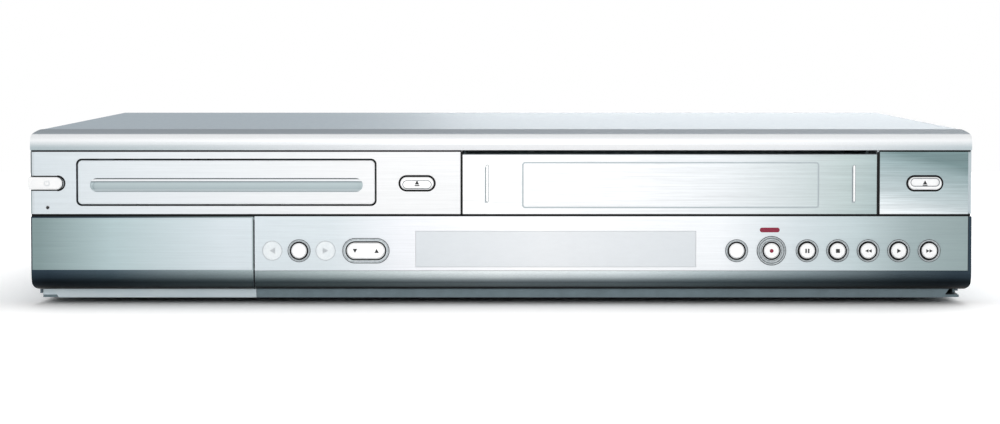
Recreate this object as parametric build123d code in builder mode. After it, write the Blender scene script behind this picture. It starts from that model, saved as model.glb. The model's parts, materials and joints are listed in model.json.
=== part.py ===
from build123d import *
import os
from math import acos, cos, pi, radians, sin, sqrt, tan

# A full-width home component that plays discs and video cassettes: steel case, moulded silver fascia,
# a motorised disc tray on the left and a front-loading cassette deck on the right.
# Millimetres. X runs to the right, Y to the back, Z up. The origin is on the surface it stands on,
# below the middle of its bounding box.

os.makedirs("parts", exist_ok=True)

# ---------------------------------------------------------------------------------------------
# Driving dimensions
# ---------------------------------------------------------------------------------------------
# Overall
fascia_width = 435.0
body_depth = 342.0  # fascia face to the rear panel's outer face
cover_width = 430.0
key_proud = 1.6  # keys stand this far in front of the fascia
barrel_proud = 9.0  # rear sockets stand this far behind the rear panel

# Heights, from the floor upwards
foot_height = 2.5
skirt_height = 4.2  # underside of the chassis to the fascia's lower edge
band_radius = 9.0  # the lower edge of the fascia is a quarter round
lower_height = 25.3
panel_seam = 1.1
upper_height = 28.7
bar_seam = 0.8
bar_height = 7.4
bevel_rise = 2.0
bevel_depth = 12.0

# Fascia mouldings
panel_wall = 2.5
frame_wall = 2.5
frame_depth = 26.0
cheek_wall = 2.3
corner_round = 4.5
band_corner = 3.5
edge_round = 0.5
seam_clearance = 0.2

# Sheet metal
sheet = 1.0
chassis_sheet = 1.2
bend_radius = 2.5
chassis_flange = 12.0
slip = 0.2  # between sheets and mouldings that are put together

# Running clearances
pin_clearance = 0.05
moving_gap = 0.3

# Tray door and tray
tray_x = -126.9
tray_rise = 14.65  # middle of the tray door above the upper panel's lower edge
tray_door_width = 137.2
tray_door_height = 20.3
tray_door_wall = 3.0
tray_door_gap = 0.8
tray_door_corner = 2.0
tray_width = 130.0
tray_length = 172.0
tray_wall = 5.0
tray_offset = 1.75  # tray's upper face above the middle of its door
tray_rail_height = 2.5
tray_rail_width = 4.0
tray_travel = 130.0
disc_pocket_radius = 60.5
disc_pocket_depth = 2.0
small_pocket_radius = 40.5
small_pocket_depth = 0.8
disc_setback = 67.0  # tray's front edge to the disc centre
tray_slot_width = 48.0
tray_slot_front = 20.0
grip_length = 126.0
grip_height = 6.4
grip_depth = 1.5

# Rack and pinion that drives the tray
tooth_module = 1.0
pinion_teeth = 20
pressure_angle = 20.0
backlash = 0.3
pinion_depth = 33.0  # fascia face to the pinion's axis
pinion_thickness = 1.9

# Loader
loader_wall = 2.5
loader_front = 24.0
loader_length = 176.0
loader_drop = 18.5  # loader floor's underside below the tray
loader_floor_wall = 2.5
lip_height = 4.6
leg_size = 8.0
bridge_width = 40.0
bridge_wall = 1.6
clamper_radius = 15.0
clamper_neck = 12.0
clamper_recess = 8.0
traverse_lift = 7.0
traverse_width = 88.0
traverse_front = 46.0
traverse_length = 114.0
traverse_wall = 2.5
guide_radius = 2.2
turntable_radius = 14.0
turntable_drop = 2.6  # turntable below the tray's underside with the traverse lowered
turntable_wall = 2.0
hub_radius = 7.4
hub_height = 2.0
motor_radius = 12.0
spindle_radius = 1.5
rod_radius = 1.5
rod_spacing = 46.0
sled_width = 52.0
sled_length = 26.0
sled_height = 3.8
sled_inner = 26.0  # turntable axis to the lens with the sled fully in
sled_travel = 34.0
lens_block = 16.0

# Cassette door and deck
flap_x = 77.9
flap_width = 191.2
flap_top_gap = 1.0
flap_side_gap = 1.1
flap_wall = 2.2
flap_axis_depth = 1.2
flap_axis_drop = 0.9
flap_pin_radius = 0.75
flap_pin_length = 2.6
flap_window_width = 137.2
flap_window_height = 21.4
flap_groove = 0.7
flap_rib_offset = 84.7
flap_rib_height = 16.4
flap_rib_width = 1.3
chute_depth = 32.0
chute_wall = 1.2
cage_front = 33.0
cage_length = 95.0
cage_wall = 1.2
cage_inner_width = 188.6
cage_rise = 1.3  # above the sill
cage_inner_height = 27.4
cage_ledge = 13.0
cage_drop = 15.0
deck_length = 186.0
deck_front = 30.0
deck_level = 17.0
deck_wall = 2.0
deck_side_gap = 1.2
reel_spacing = 92.6
reel_depth = 84.0
reel_radius = 17.0
reel_table = 3.0
reel_rise = 4.0
reel_post_radius = 4.5
reel_post_height = 12.0
reel_shaft_radius = 2.0
drum_radius = 31.0
drum_depth = 170.0
drum_base_height = 16.0
drum_head_height = 15.0
drum_split = 0.4
drum_tilt = 6.0
drum_shaft_radius = 3.0
capstan_offset = 58.0
capstan_depth = 146.0
capstan_radius = 2.0
capstan_height = 24.0
flywheel_radius = 21.0
flywheel_thickness = 5.0
pinch_arm_length = 15.0
pinch_radius = 5.5
pinch_height = 11.0
pinch_swing = 28.0

# Front input flap
door_right_gap = 1.0
door_wall = 2.0
door_skin = 0.8
door_skin_margin = 0.5
door_pin_radius = 1.5
door_ear = 1.6
housing_wall = 1.8
housing_depth = 20.0
housing_lip = 3.6
skirt_setback = 12.0
skirt_inset = 8.5
skirt_taper = 2.8

# Keys
key_travel = 0.8
round_key_radius = 3.55
round_hole_radius = 4.3
key_flange = 1.2
key_stem_size = 3.0
key_stem_end = 9.4
bezel_radius = 5.3
bezel_height = 0.6
record_bezel_radius = 6.7
pill_key_length = 15.4
pill_key_height = 5.8
pill_hole_margin = 0.45
rocker_length = 17.7
rocker_height = 7.6
rocker_hole_margin = 0.65
rocker_bezel_margin = 1.4
rocker_pin_radius = 0.9
rocker_pin_depth = 6.2
rocker_swing = 3.0
switch_size = 6.0
switch_height = 2.0
plunger_size = 3.4
board_wall = 1.6

# Where the keys stand on the fascia
key_row_rise = 9.4  # above the band
pill_row_rise = 14.2  # above the upper panel's lower edge
standby_x = -210.3
open_x = -38.8
eject_x = 195.7
lens_left_x = -105.8
dub_x = -93.4
lens_right_x = -81.2
rocker_x = -62.5
source_x = 108.9
record_x = 125.0
transport_first_x = 141.5
transport_pitch = 14.1
lens_radius = 4.6
lamp_x = -209.5
lamp_rise = 3.0
lamp_radius = 0.9

# Display
display_x = 25.3
display_rise = 10.15
display_width = 129.7
display_height = 16.7
window_wall = 2.4
window_clearance = 0.1

# Rear
fan_size = 40.0
fan_depth = 10.0
fan_offset = 23.0  # left of the power board's middle
fan_z = 46.0
fan_blades = 7
fan_bore = 18.6
rotor_gap = 0.6
rotor_hub = 9.5
scart_width = 47.0
scart_height = 13.0
scart_inset = 18.0  # from the main board's left edge
scart_pitch = 58.0
scart_z = 32.0
jack_radius = 4.15
jack_bore = 1.7
jack_pitch = 14.0
rear_jack_offset = 11.0  # right of the middle between the second SCART socket and the aerials
rear_jack_z = 33.0
aerial_inset = 26.0  # from the main board's right edge
aerial_z = 46.0
aerial_radius = 4.75
aerial_pitch = 20.0
inlet_offset = 27.0  # right of the power board's middle
inlet_z = 26.0
inlet_width = 15.6
inlet_height = 9.0
inlet_depth = 12.0
inlet_pin_radius = 1.2
inlet_pin_spacing = 8.6
screw_radius = 1.5
screw_head_radius = 3.4
screw_head_height = 1.8

# Boards on the chassis, feet and side screws
power_board_width = 130.0
power_board_margin = 12.0
power_board_front = 208.0
power_board_rear_margin = 21.0
main_board_margin = 10.0
main_board_front = 228.0
main_board_rear_margin = 5.0
board_spacing = 32.0
foot_inset = 41.8
rear_foot_margin = 41.0

# ---------------------------------------------------------------------------------------------
# Levels and places that follow from them
# ---------------------------------------------------------------------------------------------
total_depth = key_proud + body_depth + barrel_proud
front = -total_depth / 2 + key_proud
half_width = fascia_width / 2
chassis_bottom = foot_height
chassis_top = chassis_bottom + chassis_sheet
fascia_bottom = chassis_bottom + skirt_height
lower_bottom = fascia_bottom + band_radius
lower_top = lower_bottom + lower_height
upper_bottom = lower_top + panel_seam
upper_top = upper_bottom + upper_height
bar_bottom = upper_top + bar_seam
bar_top = bar_bottom + bar_height
cover_top = bar_top + bevel_rise
trim_seat = bar_top - bevel_rise
frame_back = panel_wall + frame_wall
cover_front = bevel_depth + 2 * slip
key_row_z = lower_bottom + key_row_rise
display_z = lower_bottom + display_rise
pill_row_z = upper_bottom + pill_row_rise
lamp_z = upper_bottom + lamp_rise
tray_z = upper_bottom + tray_rise
tray_door_left = tray_x - tray_door_width / 2
flap_left = flap_x - flap_width / 2
flap_right = flap_x + flap_width / 2
flap_top = upper_top - flap_top_gap
flap_axis_z = flap_top - flap_axis_drop
sill = lower_top + 0.1
bay_right = -113.9  # the front input flap fills the fascia from its left end to here
door_left = -half_width + seam_clearance
door_right = bay_right - door_right_gap + 0.3
door_axis_z = lower_bottom
door_top = lower_top - seam_clearance
upper_left_edge = flap_left - flap_side_gap
upper_right_edge = flap_right + flap_side_gap
transport_x = [transport_first_x + transport_pitch * i for i in range(5)]
round_key_x = [dub_x, source_x, record_x, *transport_x]
disc_depth = tray_door_wall + disc_setback
tray_top = tray_z + tray_offset
tray_bottom = tray_top - tray_wall
board_depth = key_stem_end + key_travel + 0.1 + switch_height
rear_inner = body_depth - sheet
cover_inner = cover_width / 2 - sheet
power_board_left = -cover_inner + power_board_margin
power_board_x = power_board_left + power_board_width / 2
power_board_length = rear_inner - power_board_rear_margin - power_board_front
main_board_left = power_board_left + power_board_width + board_spacing
main_board_right = cover_inner - main_board_margin
main_board_x = (main_board_left + main_board_right) / 2
main_board_width = main_board_right - main_board_left
main_board_length = rear_inner - main_board_rear_margin - main_board_front
fan_x = power_board_x - fan_offset
inlet_x = power_board_x + inlet_offset
scart_first_x = main_board_left + scart_inset
aerial_x = main_board_right - aerial_inset
rear_jack_x = (scart_first_x + scart_pitch + aerial_x) / 2 + rear_jack_offset
key_flange_back = frame_back + moving_gap + key_flange


def face(depth):
    """A plane parallel to the fascia, that far behind its face: X to the right, Z up, normal to the front."""
    return Plane(origin=(0, front + depth, 0), x_dir=(1, 0, 0), z_dir=(0, -1, 0))


def level(z):
    """A horizontal plane with its Y measured from the fascia's face."""
    return Plane(origin=(0, front, z), x_dir=(1, 0, 0), z_dir=(0, 0, 1))


def side(x):
    """A plane across the width, with its Y measured from the fascia's face and Z up."""
    return Plane(origin=(x, front, 0), x_dir=(0, 1, 0), z_dir=(1, 0, 0))


def save(builder, name):
    """Labels a finished piece and writes it as its own file."""
    builder.part.label = name
    export_step(builder.part, f"parts/{name}.step")


# ---------------------------------------------------------------------------------------------
# Fascia: top bar, frame and panels
# ---------------------------------------------------------------------------------------------
# The bar along the top of the fascia: a bulged front and a shallow bevel that runs back to the cover.
bar_bulge = 0.5
with BuildPart() as top_trim:
    with BuildSketch(Plane.YZ):
        with BuildLine():
            ThreePointArc(
                (front + bar_bulge, bar_bottom),
                (front, (bar_bottom + bar_top) / 2),
                (front + 2 * bar_bulge, bar_top),
            )
            Polyline(
                (front + 2 * bar_bulge, bar_top),
                (front + bevel_depth, cover_top),
                (front + bevel_depth, trim_seat),
                (front + panel_wall, trim_seat),
                (front + panel_wall, bar_bottom),
                (front + bar_bulge, bar_bottom),
            )
        make_face()
    extrude(amount=half_width, both=True)
    with BuildSketch(face(bevel_depth)):
        with Locations((0, (bar_bottom + cover_top) / 2)):
            Rectangle(fascia_width, cover_top - bar_bottom)
        fillet(vertices().group_by(Axis.Y)[-1], corner_round)
    extrude(amount=bevel_depth, mode=Mode.INTERSECT)
save(top_trim, "top_trim")

# The frame behind the panels: openings for tray, cassette, keys, display and input bay, side cheeks,
# a shelf for the cover, a chute that guides the cassette, bosses for the key board and ribs on the band.
boss_size = 5.2
boss_x = [-104.0, -45.0, 96.0, 133.3, 208.5]
boss_z = [lower_bottom + 3.0, lower_top - 5.0]
rib_wall = 2.0
rib_x = [-60.0, 25.0, 110.0, 200.0]
shelf_front = bevel_depth + 2.0
shelf_half = cover_width / 2 - sheet - bend_radius
tray_mouth_width = tray_door_width + 2 * tray_door_gap
tray_mouth_height = tray_door_height + 2 * tray_door_gap
with BuildPart() as front_frame:
    with BuildSketch(face(frame_back)):
        with Locations((0, (lower_bottom + trim_seat) / 2)):
            Rectangle(2 * (half_width - cheek_wall), trim_seat - lower_bottom)
        with Locations((0, (upper_bottom + trim_seat) / 2)):
            Rectangle(fascia_width, trim_seat - upper_bottom)
        with Locations(((-half_width + bay_right) / 2, (lower_bottom + sill) / 2)):
            Rectangle(half_width + bay_right, sill - lower_bottom + 2 * slip, mode=Mode.SUBTRACT)
        with Locations((tray_x, tray_z)):
            Rectangle(tray_mouth_width, tray_mouth_height, mode=Mode.SUBTRACT)
        with Locations((flap_x, (sill + bar_bottom) / 2)):
            Rectangle(flap_width + 2 * moving_gap, bar_bottom - sill, mode=Mode.SUBTRACT)
        with Locations((display_x, display_z)):
            Rectangle(display_width - 2 * window_clearance, display_height - 2, mode=Mode.SUBTRACT)
        with Locations(*[(x, key_row_z) for x in round_key_x]):
            Rectangle(2 * round_hole_radius, 2 * round_hole_radius, mode=Mode.SUBTRACT)
        with Locations((lens_left_x, key_row_z), (lens_right_x, key_row_z)):
            Rectangle(2 * lens_radius - 3.6, 2 * lens_radius - 3.6, mode=Mode.SUBTRACT)
        with Locations((rocker_x, key_row_z)):
            Rectangle(
                rocker_length + 2 * rocker_hole_margin, rocker_height + 2 * rocker_hole_margin, mode=Mode.SUBTRACT
            )
        with Locations((open_x, pill_row_z), (eject_x, pill_row_z), (standby_x, pill_row_z)):
            Rectangle(
                pill_key_length + 2 * pill_hole_margin, pill_key_height + 2 * pill_hole_margin, mode=Mode.SUBTRACT
            )
        with Locations((lamp_x, lamp_z)):
            Rectangle(lamp_radius, lamp_radius, mode=Mode.SUBTRACT)
    extrude(amount=frame_wall)
    # side cheeks
    with BuildSketch(face(frame_depth)):
        with GridLocations(2 * half_width - cheek_wall, 0, 2, 1):
            with Locations((0, (upper_bottom + trim_seat) / 2)):
                Rectangle(cheek_wall, trim_seat - upper_bottom)
    extrude(amount=frame_depth - panel_wall)
    # top wall and the raised shelf under the cover
    with BuildSketch(side(-shelf_half)):
        with BuildLine():
            Polyline(
                (frame_back, trim_seat - 2.0),
                (frame_depth, trim_seat - 2.0),
                (frame_depth, cover_top - sheet),
                (shelf_front, cover_top - sheet),
                (shelf_front, trim_seat),
                (frame_back, trim_seat),
                close=True,
            )
        make_face()
    extrude(amount=2 * shelf_half)
    # cassette chute: floor and two side walls
    with BuildSketch(face(chute_depth)):
        with Locations((flap_x, (sill + bar_bottom) / 2 - chute_wall / 2)):
            Rectangle(flap_width + 2 * moving_gap + 2 * chute_wall, bar_bottom - sill + chute_wall)
        with Locations((flap_x, (sill + bar_bottom) / 2)):
            Rectangle(flap_width + 2 * moving_gap, bar_bottom - sill, mode=Mode.SUBTRACT)
    extrude(amount=chute_depth - frame_back)
    # bosses that carry the key board
    with BuildSketch(face(board_depth)):
        with Locations(*[(x, z) for x in boss_x for z in boss_z]):
            Rectangle(boss_size, boss_size)
        with Locations(*[(standby_x + 2.0, pill_row_z + s * 9.0) for s in (-1, 1)]):
            Rectangle(boss_size, boss_size)
    extrude(amount=board_depth - frame_back)
    # ribs that stand on the band
    with BuildSketch(face(frame_depth)):
        with Locations(*[(x, (fascia_bottom + door_wall + lower_bottom + 0.8) / 2) for x in rib_x]):
            Rectangle(rib_wall, lower_bottom + 0.8 - fascia_bottom - door_wall)
    extrude(amount=frame_depth - band_radius)
    with BuildSketch(face(band_radius)):
        with Locations(*[(x, lower_bottom + 0.4) for x in rib_x]):
            Rectangle(rib_wall, 0.8)
    extrude(amount=band_radius - frame_back)
    # pivot ears of the rocker key
    rocker_ear_z = rocker_height / 2 + rocker_hole_margin + 0.9
    with Locations(
        *[(rocker_x, front + rocker_pin_depth, key_row_z + s * rocker_ear_z) for s in (-1, 1)]
    ):
        Box(4.0, 2 * (rocker_pin_depth - frame_back) + 0.4, 1.4)
    with Locations((rocker_x, front + rocker_pin_depth, key_row_z)):
        Cylinder(rocker_pin_radius + pin_clearance, 2 * rocker_ear_z + 1.4, mode=Mode.SUBTRACT)
    # the standby key wraps the left edge, so its slot runs on into the cheek
    with BuildSketch(face(key_flange_back + 1.4)):
        with Locations((-half_width, pill_row_z)):
            Rectangle(2 * (half_width + standby_x), pill_key_height + 2 * pill_hole_margin)
    extrude(amount=key_flange_back, mode=Mode.SUBTRACT)
save(front_frame, "front_frame")

# Upper left panel, with the tray mouth, the open key, the standby key and its lamp.
pin_hole_radius = flap_pin_radius + pin_clearance
with BuildPart() as upper_left_panel:
    with BuildSketch(face(panel_wall)):
        with Locations(((-half_width + upper_left_edge) / 2, (upper_bottom + upper_top) / 2)):
            Rectangle(half_width + upper_left_edge, upper_height)
        with Locations((tray_x, tray_z)):
            RectangleRounded(tray_mouth_width, tray_mouth_height, tray_door_corner + 0.6, mode=Mode.SUBTRACT)
        with Locations((open_x, pill_row_z), (standby_x, pill_row_z)):
            SlotOverall(
                pill_key_length + 2 * pill_hole_margin, pill_key_height + 2 * pill_hole_margin, mode=Mode.SUBTRACT
            )
        with Locations((-half_width, pill_row_z)):
            Rectangle(
                2 * (half_width + standby_x), pill_key_height + 2 * pill_hole_margin, mode=Mode.SUBTRACT
            )
        with Locations((lamp_x, lamp_z)):
            Circle(lamp_radius, mode=Mode.SUBTRACT)
    extrude(amount=panel_wall)
    side_edges = upper_left_panel.edges().filter_by(Axis.Z).group_by(Axis.X)[0].sort_by(Axis.Y)[:2]
    fillet(side_edges, panel_wall - 0.5)
    with Locations(Location((upper_left_edge, front + flap_axis_depth, flap_axis_z), (0, 90, 0))):
        Cylinder(pin_hole_radius, 2 * flap_pin_length, mode=Mode.SUBTRACT)
save(upper_left_panel, "upper_left_panel")

# Upper right panel, with the eject key.
upper_right_end = half_width - 1.8
with BuildPart() as upper_right_panel:
    with BuildSketch(face(panel_wall)):
        with Locations(((upper_right_edge + upper_right_end) / 2, (upper_bottom + upper_top) / 2)):
            Rectangle(upper_right_end - upper_right_edge, upper_height)
        with Locations((eject_x, pill_row_z)):
            SlotOverall(
                pill_key_length + 2 * pill_hole_margin, pill_key_height + 2 * pill_hole_margin, mode=Mode.SUBTRACT
            )
    extrude(amount=panel_wall)
    with Locations(Location((upper_right_edge, front + flap_axis_depth, flap_axis_z), (0, 90, 0))):
        Cylinder(pin_hole_radius, 2 * flap_pin_length, mode=Mode.SUBTRACT)
save(upper_right_panel, "upper_right_panel")

# Lower panel, with the key holes and the display opening.
lower_right_end = half_width - 1.7
lower_height_clear = lower_height - seam_clearance
with BuildPart() as lower_panel:
    with BuildSketch(face(panel_wall)):
        with Locations(((bay_right + lower_right_end) / 2, lower_top - lower_height_clear / 2)):
            Rectangle(lower_right_end - bay_right, lower_height_clear)
        with Locations((display_x, display_z)):
            Rectangle(display_width, display_height, mode=Mode.SUBTRACT)
        with Locations(*[(x, key_row_z) for x in round_key_x]):
            Circle(round_hole_radius, mode=Mode.SUBTRACT)
        with Locations((lens_left_x, key_row_z), (lens_right_x, key_row_z)):
            Circle(lens_radius, mode=Mode.SUBTRACT)
        with Locations((rocker_x, key_row_z)):
            SlotOverall(
                rocker_length + 2 * rocker_hole_margin, rocker_height + 2 * rocker_hole_margin, mode=Mode.SUBTRACT
            )
    extrude(amount=panel_wall)
save(lower_panel, "lower_panel")

# The band: a quarter round along the lower edge, with an upright at the right end.
with BuildPart() as lower_trim:
    with BuildSketch(side(bay_right)):
        with BuildLine():
            Line((0, lower_bottom), (door_wall, lower_bottom))
            CenterArc((band_radius, lower_bottom), band_radius - door_wall, 180, 90)
            Polyline(
                (band_radius, fascia_bottom + door_wall),
                (frame_depth, fascia_bottom + door_wall),
                (frame_depth, fascia_bottom),
                (band_radius, fascia_bottom),
            )
            CenterArc((band_radius, lower_bottom), band_radius, 180, 90)
        make_face()
    extrude(amount=half_width - bay_right)
    with BuildSketch(side(half_width - 1.5)):
        with BuildLine():
            Line((0, lower_bottom), (0, lower_top))
            Polyline((0, lower_top), (frame_depth, lower_top), (frame_depth, fascia_bottom))
            Line((frame_depth, fascia_bottom), (band_radius, fascia_bottom))
            CenterArc((band_radius, lower_bottom), band_radius, 180, 90)
        make_face()
    extrude(amount=1.5)
    with BuildSketch(face(frame_depth)):
        with Locations(((bay_right + half_width) / 2, (fascia_bottom + lower_top) / 2)):
            Rectangle(half_width - bay_right, lower_top - fascia_bottom)
        fillet(vertices().group_by(Axis.Y)[0].sort_by(Axis.X)[-1], band_corner)
    extrude(amount=frame_depth, mode=Mode.INTERSECT)
save(lower_trim, "lower_trim")

# Display window, flush in the lower panel.
with BuildPart() as display_window:
    with BuildSketch(face(panel_wall)):
        with Locations((display_x, display_z)):
            Rectangle(display_width - 2 * window_clearance, display_height - 2 * window_clearance)
    extrude(amount=window_wall)
save(display_window, "display_window")

# Rings round the keys: a rolled lip on the panel, wider round the record key, and one for the rocker.
with BuildPart() as button_bezels:
    for x in round_key_x:
        outer = record_bezel_radius if x == record_x else bezel_radius
        with BuildSketch(face(0)):
            with Locations((x, key_row_z)):
                Circle(outer)
        extrude(amount=bezel_height)
    with BuildSketch(face(0)):
        with Locations((rocker_x, key_row_z)):
            SlotOverall(
                rocker_length + 2 * (rocker_hole_margin + rocker_bezel_margin),
                rocker_height + 2 * (rocker_hole_margin + rocker_bezel_margin),
            )
    extrude(amount=bezel_height)
    chamfer(button_bezels.edges().group_by(Axis.Y)[0], bezel_height * 0.45)
    with BuildSketch(face(0)):
        with Locations(*[(x, key_row_z) for x in round_key_x]):
            Circle(round_hole_radius)
        with Locations((rocker_x, key_row_z)):
            SlotOverall(rocker_length + 2 * rocker_hole_margin, rocker_height + 2 * rocker_hole_margin)
    extrude(amount=bezel_height, mode=Mode.SUBTRACT)
save(button_bezels, "button_bezels")

# Two flush lenses beside the copy key and the standby lamp.
with BuildPart() as indicator_lenses:
    with BuildSketch(face(panel_wall)):
        with Locations((lens_left_x, key_row_z), (lens_right_x, key_row_z)):
            Circle(lens_radius - window_clearance)
        with Locations((lamp_x, lamp_z)):
            Circle(lamp_radius - window_clearance / 2)
    extrude(amount=window_wall)
save(indicator_lenses, "indicator_lenses")

# ---------------------------------------------------------------------------------------------
# Keys
# ---------------------------------------------------------------------------------------------
round_keys = {
    "copy_button": dub_x,
    "source_button": source_x,
    "record_button": record_x,
    "pause_button": transport_x[0],
    "stop_button": transport_x[1],
    "rewind_button": transport_x[2],
    "play_button": transport_x[3],
    "forward_button": transport_x[4],
}
for key_name, x in round_keys.items():
    with BuildPart() as round_key:
        with BuildSketch(face(key_flange_back)):
            with Locations((x, key_row_z)):
                Circle(round_key_radius)
        extrude(amount=key_flange_back + key_proud)
        chamfer(round_key.edges().sort_by(Axis.Y)[0], 0.5)
        with BuildSketch(face(key_flange_back)):
            with Locations((x, key_row_z)):
                Rectangle(2 * round_hole_radius + 1.8, 2 * round_hole_radius + 1.8)
        extrude(amount=key_flange)
        with BuildSketch(face(key_stem_end)):
            with Locations((x, key_row_z)):
                Rectangle(key_stem_size, key_stem_size)
        extrude(amount=key_stem_end - key_flange_back)
    save(round_key, key_name)

# Pill-shaped keys: the cap has a scoop that leaves a broad rim along one long side.
for key_name, x, rim_side in (("open_button", open_x, -1), ("eject_button", eject_x, 1)):
    with BuildPart() as pill_key:
        with BuildSketch(face(key_flange_back)):
            with Locations((x, pill_row_z)):
                SlotOverall(pill_key_length, pill_key_height)
        extrude(amount=key_flange_back + key_proud)
        chamfer(pill_key.edges().group_by(Axis.Y)[0], 0.4)
        with BuildSketch(face(-key_proud + 0.5)):
            with Locations((x, pill_row_z + rim_side * 0.5)):
                SlotOverall(pill_key_length - 2.2, pill_key_height - 2.2)
        extrude(amount=0.6, mode=Mode.SUBTRACT)
        with BuildSketch(face(key_flange_back)):
            with Locations((x, pill_row_z)):
                Rectangle(pill_key_length + 3.0, pill_key_height + 3.0)
        extrude(amount=key_flange)
        with BuildSketch(face(key_stem_end)):
            with Locations((x, pill_row_z)):
                Rectangle(key_stem_size, key_stem_size)
        extrude(amount=key_stem_end - key_flange_back)
    save(pill_key, key_name)

# The standby key runs off the fascia's left end and wraps round it.
standby_end = standby_x + pill_key_length / 2
standby_left = -half_width - 0.8
with BuildPart() as standby_button:
    with BuildSketch(face(key_flange_back)):
        with Locations((standby_x, pill_row_z)):
            SlotOverall(pill_key_length, pill_key_height)
        with Locations(((standby_left + standby_x) / 2, pill_row_z)):
            Rectangle(standby_x - standby_left, pill_key_height)
        with Locations((standby_left - 10.0, pill_row_z)):
            Rectangle(20.0, pill_key_height + 2.0, mode=Mode.SUBTRACT)
    extrude(amount=key_flange_back + key_proud)
    chamfer(standby_button.edges().group_by(Axis.Y)[0], 0.4)
    with BuildSketch(face(-key_proud + 0.5)):
        with Locations((standby_x, pill_row_z - 0.5)):
            SlotOverall(pill_key_length - 2.2, pill_key_height - 2.2)
        with Locations((standby_x - 4.5, pill_row_z - 0.5)):
            Rectangle(9.0, pill_key_height - 2.2)
        with Locations((standby_left - 10.0 + 1.4, pill_row_z)):
            Rectangle(20.0, pill_key_height, mode=Mode.SUBTRACT)
    extrude(amount=0.6, mode=Mode.SUBTRACT)
    with BuildSketch(face(key_flange_back)):
        with Locations(((standby_end + 1.5 - half_width + cheek_wall + slip) / 2, pill_row_z)):
            Rectangle(standby_end + 1.5 + half_width - cheek_wall - slip, pill_key_height + 3.0)
    extrude(amount=key_flange)
    with BuildSketch(face(key_stem_end)):
        with Locations((standby_x + 2.0, pill_row_z)):
            Rectangle(key_stem_size, key_stem_size)
    extrude(amount=key_stem_end - key_flange_back)
save(standby_button, "standby_button")

# The channel rocker tilts about an upright pin behind its middle and presses one of two switches.
rocker_stem_x = 5.5
with BuildPart() as channel_rocker:
    with BuildSketch(face(rocker_pin_depth + 0.6)):
        with Locations((rocker_x, key_row_z)):
            SlotOverall(rocker_length, rocker_height)
    extrude(amount=rocker_pin_depth + 0.6 + key_proud)
    chamfer(channel_rocker.edges().group_by(Axis.Y)[0], 0.6)
    with Locations((rocker_x, front + rocker_pin_depth, key_row_z)):
        Cylinder(rocker_pin_radius, 2 * rocker_ear_z + 1.2)
    rocker_stem_end = board_depth - switch_height - 0.4
    with BuildSketch(face(rocker_stem_end)):
        with Locations((rocker_x - rocker_stem_x, key_row_z), (rocker_x + rocker_stem_x, key_row_z)):
            Rectangle(key_stem_size, key_stem_size)
    extrude(amount=rocker_stem_end - rocker_pin_depth)
save(channel_rocker, "channel_rocker")

# Key boards: a long one behind the lower panel, which reaches up behind two of the upper keys.
upper_board_z = pill_row_z
switch_x = [*round_key_x, rocker_x - rocker_stem_x, rocker_x + rocker_stem_x]
upper_switch_x = [open_x, eject_x]
standby_stem_x = standby_x + 2.0
with BuildPart() as front_board:
    with BuildSketch(face(board_depth + board_wall)):
        board_right = cover_width / 2 - sheet - 2.0
        with Locations(((bay_right + 3.0 + board_right) / 2, (lower_bottom + lower_top) / 2 - 1.0)):
            Rectangle(board_right - bay_right - 3.0, lower_height - 4.0)
        for x in upper_switch_x:
            with Locations((x, (lower_top - 4.0 + upper_board_z + 8.0) / 2)):
                Rectangle(11.0, upper_board_z + 8.0 - lower_top + 4.0)
    extrude(amount=board_wall)
    with BuildSketch(face(board_depth)):
        with Locations(*[(x, key_row_z) for x in switch_x], *[(x, upper_board_z) for x in upper_switch_x]):
            Rectangle(switch_size, switch_size)
    extrude(amount=switch_height - 0.4)
    with BuildSketch(face(board_depth - switch_height + 0.4)):
        with Locations(*[(x, key_row_z) for x in switch_x], *[(x, upper_board_z) for x in upper_switch_x]):
            Rectangle(plunger_size, plunger_size)
    extrude(amount=0.4)
    # the standby key's own small board
    with BuildSketch(face(board_depth + board_wall)):
        with Locations((standby_stem_x + 0.2, upper_board_z)):
            Rectangle(10.0, 24.0)
    extrude(amount=board_wall)
    with BuildSketch(face(board_depth)):
        with Locations((standby_stem_x, upper_board_z)):
            Rectangle(switch_size, switch_size)
    extrude(amount=switch_height - 0.4)
    with BuildSketch(face(board_depth - switch_height + 0.4)):
        with Locations((standby_stem_x, upper_board_z)):
            Rectangle(plunger_size, plunger_size)
    extrude(amount=0.4)
save(front_board, "front_board")

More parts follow.
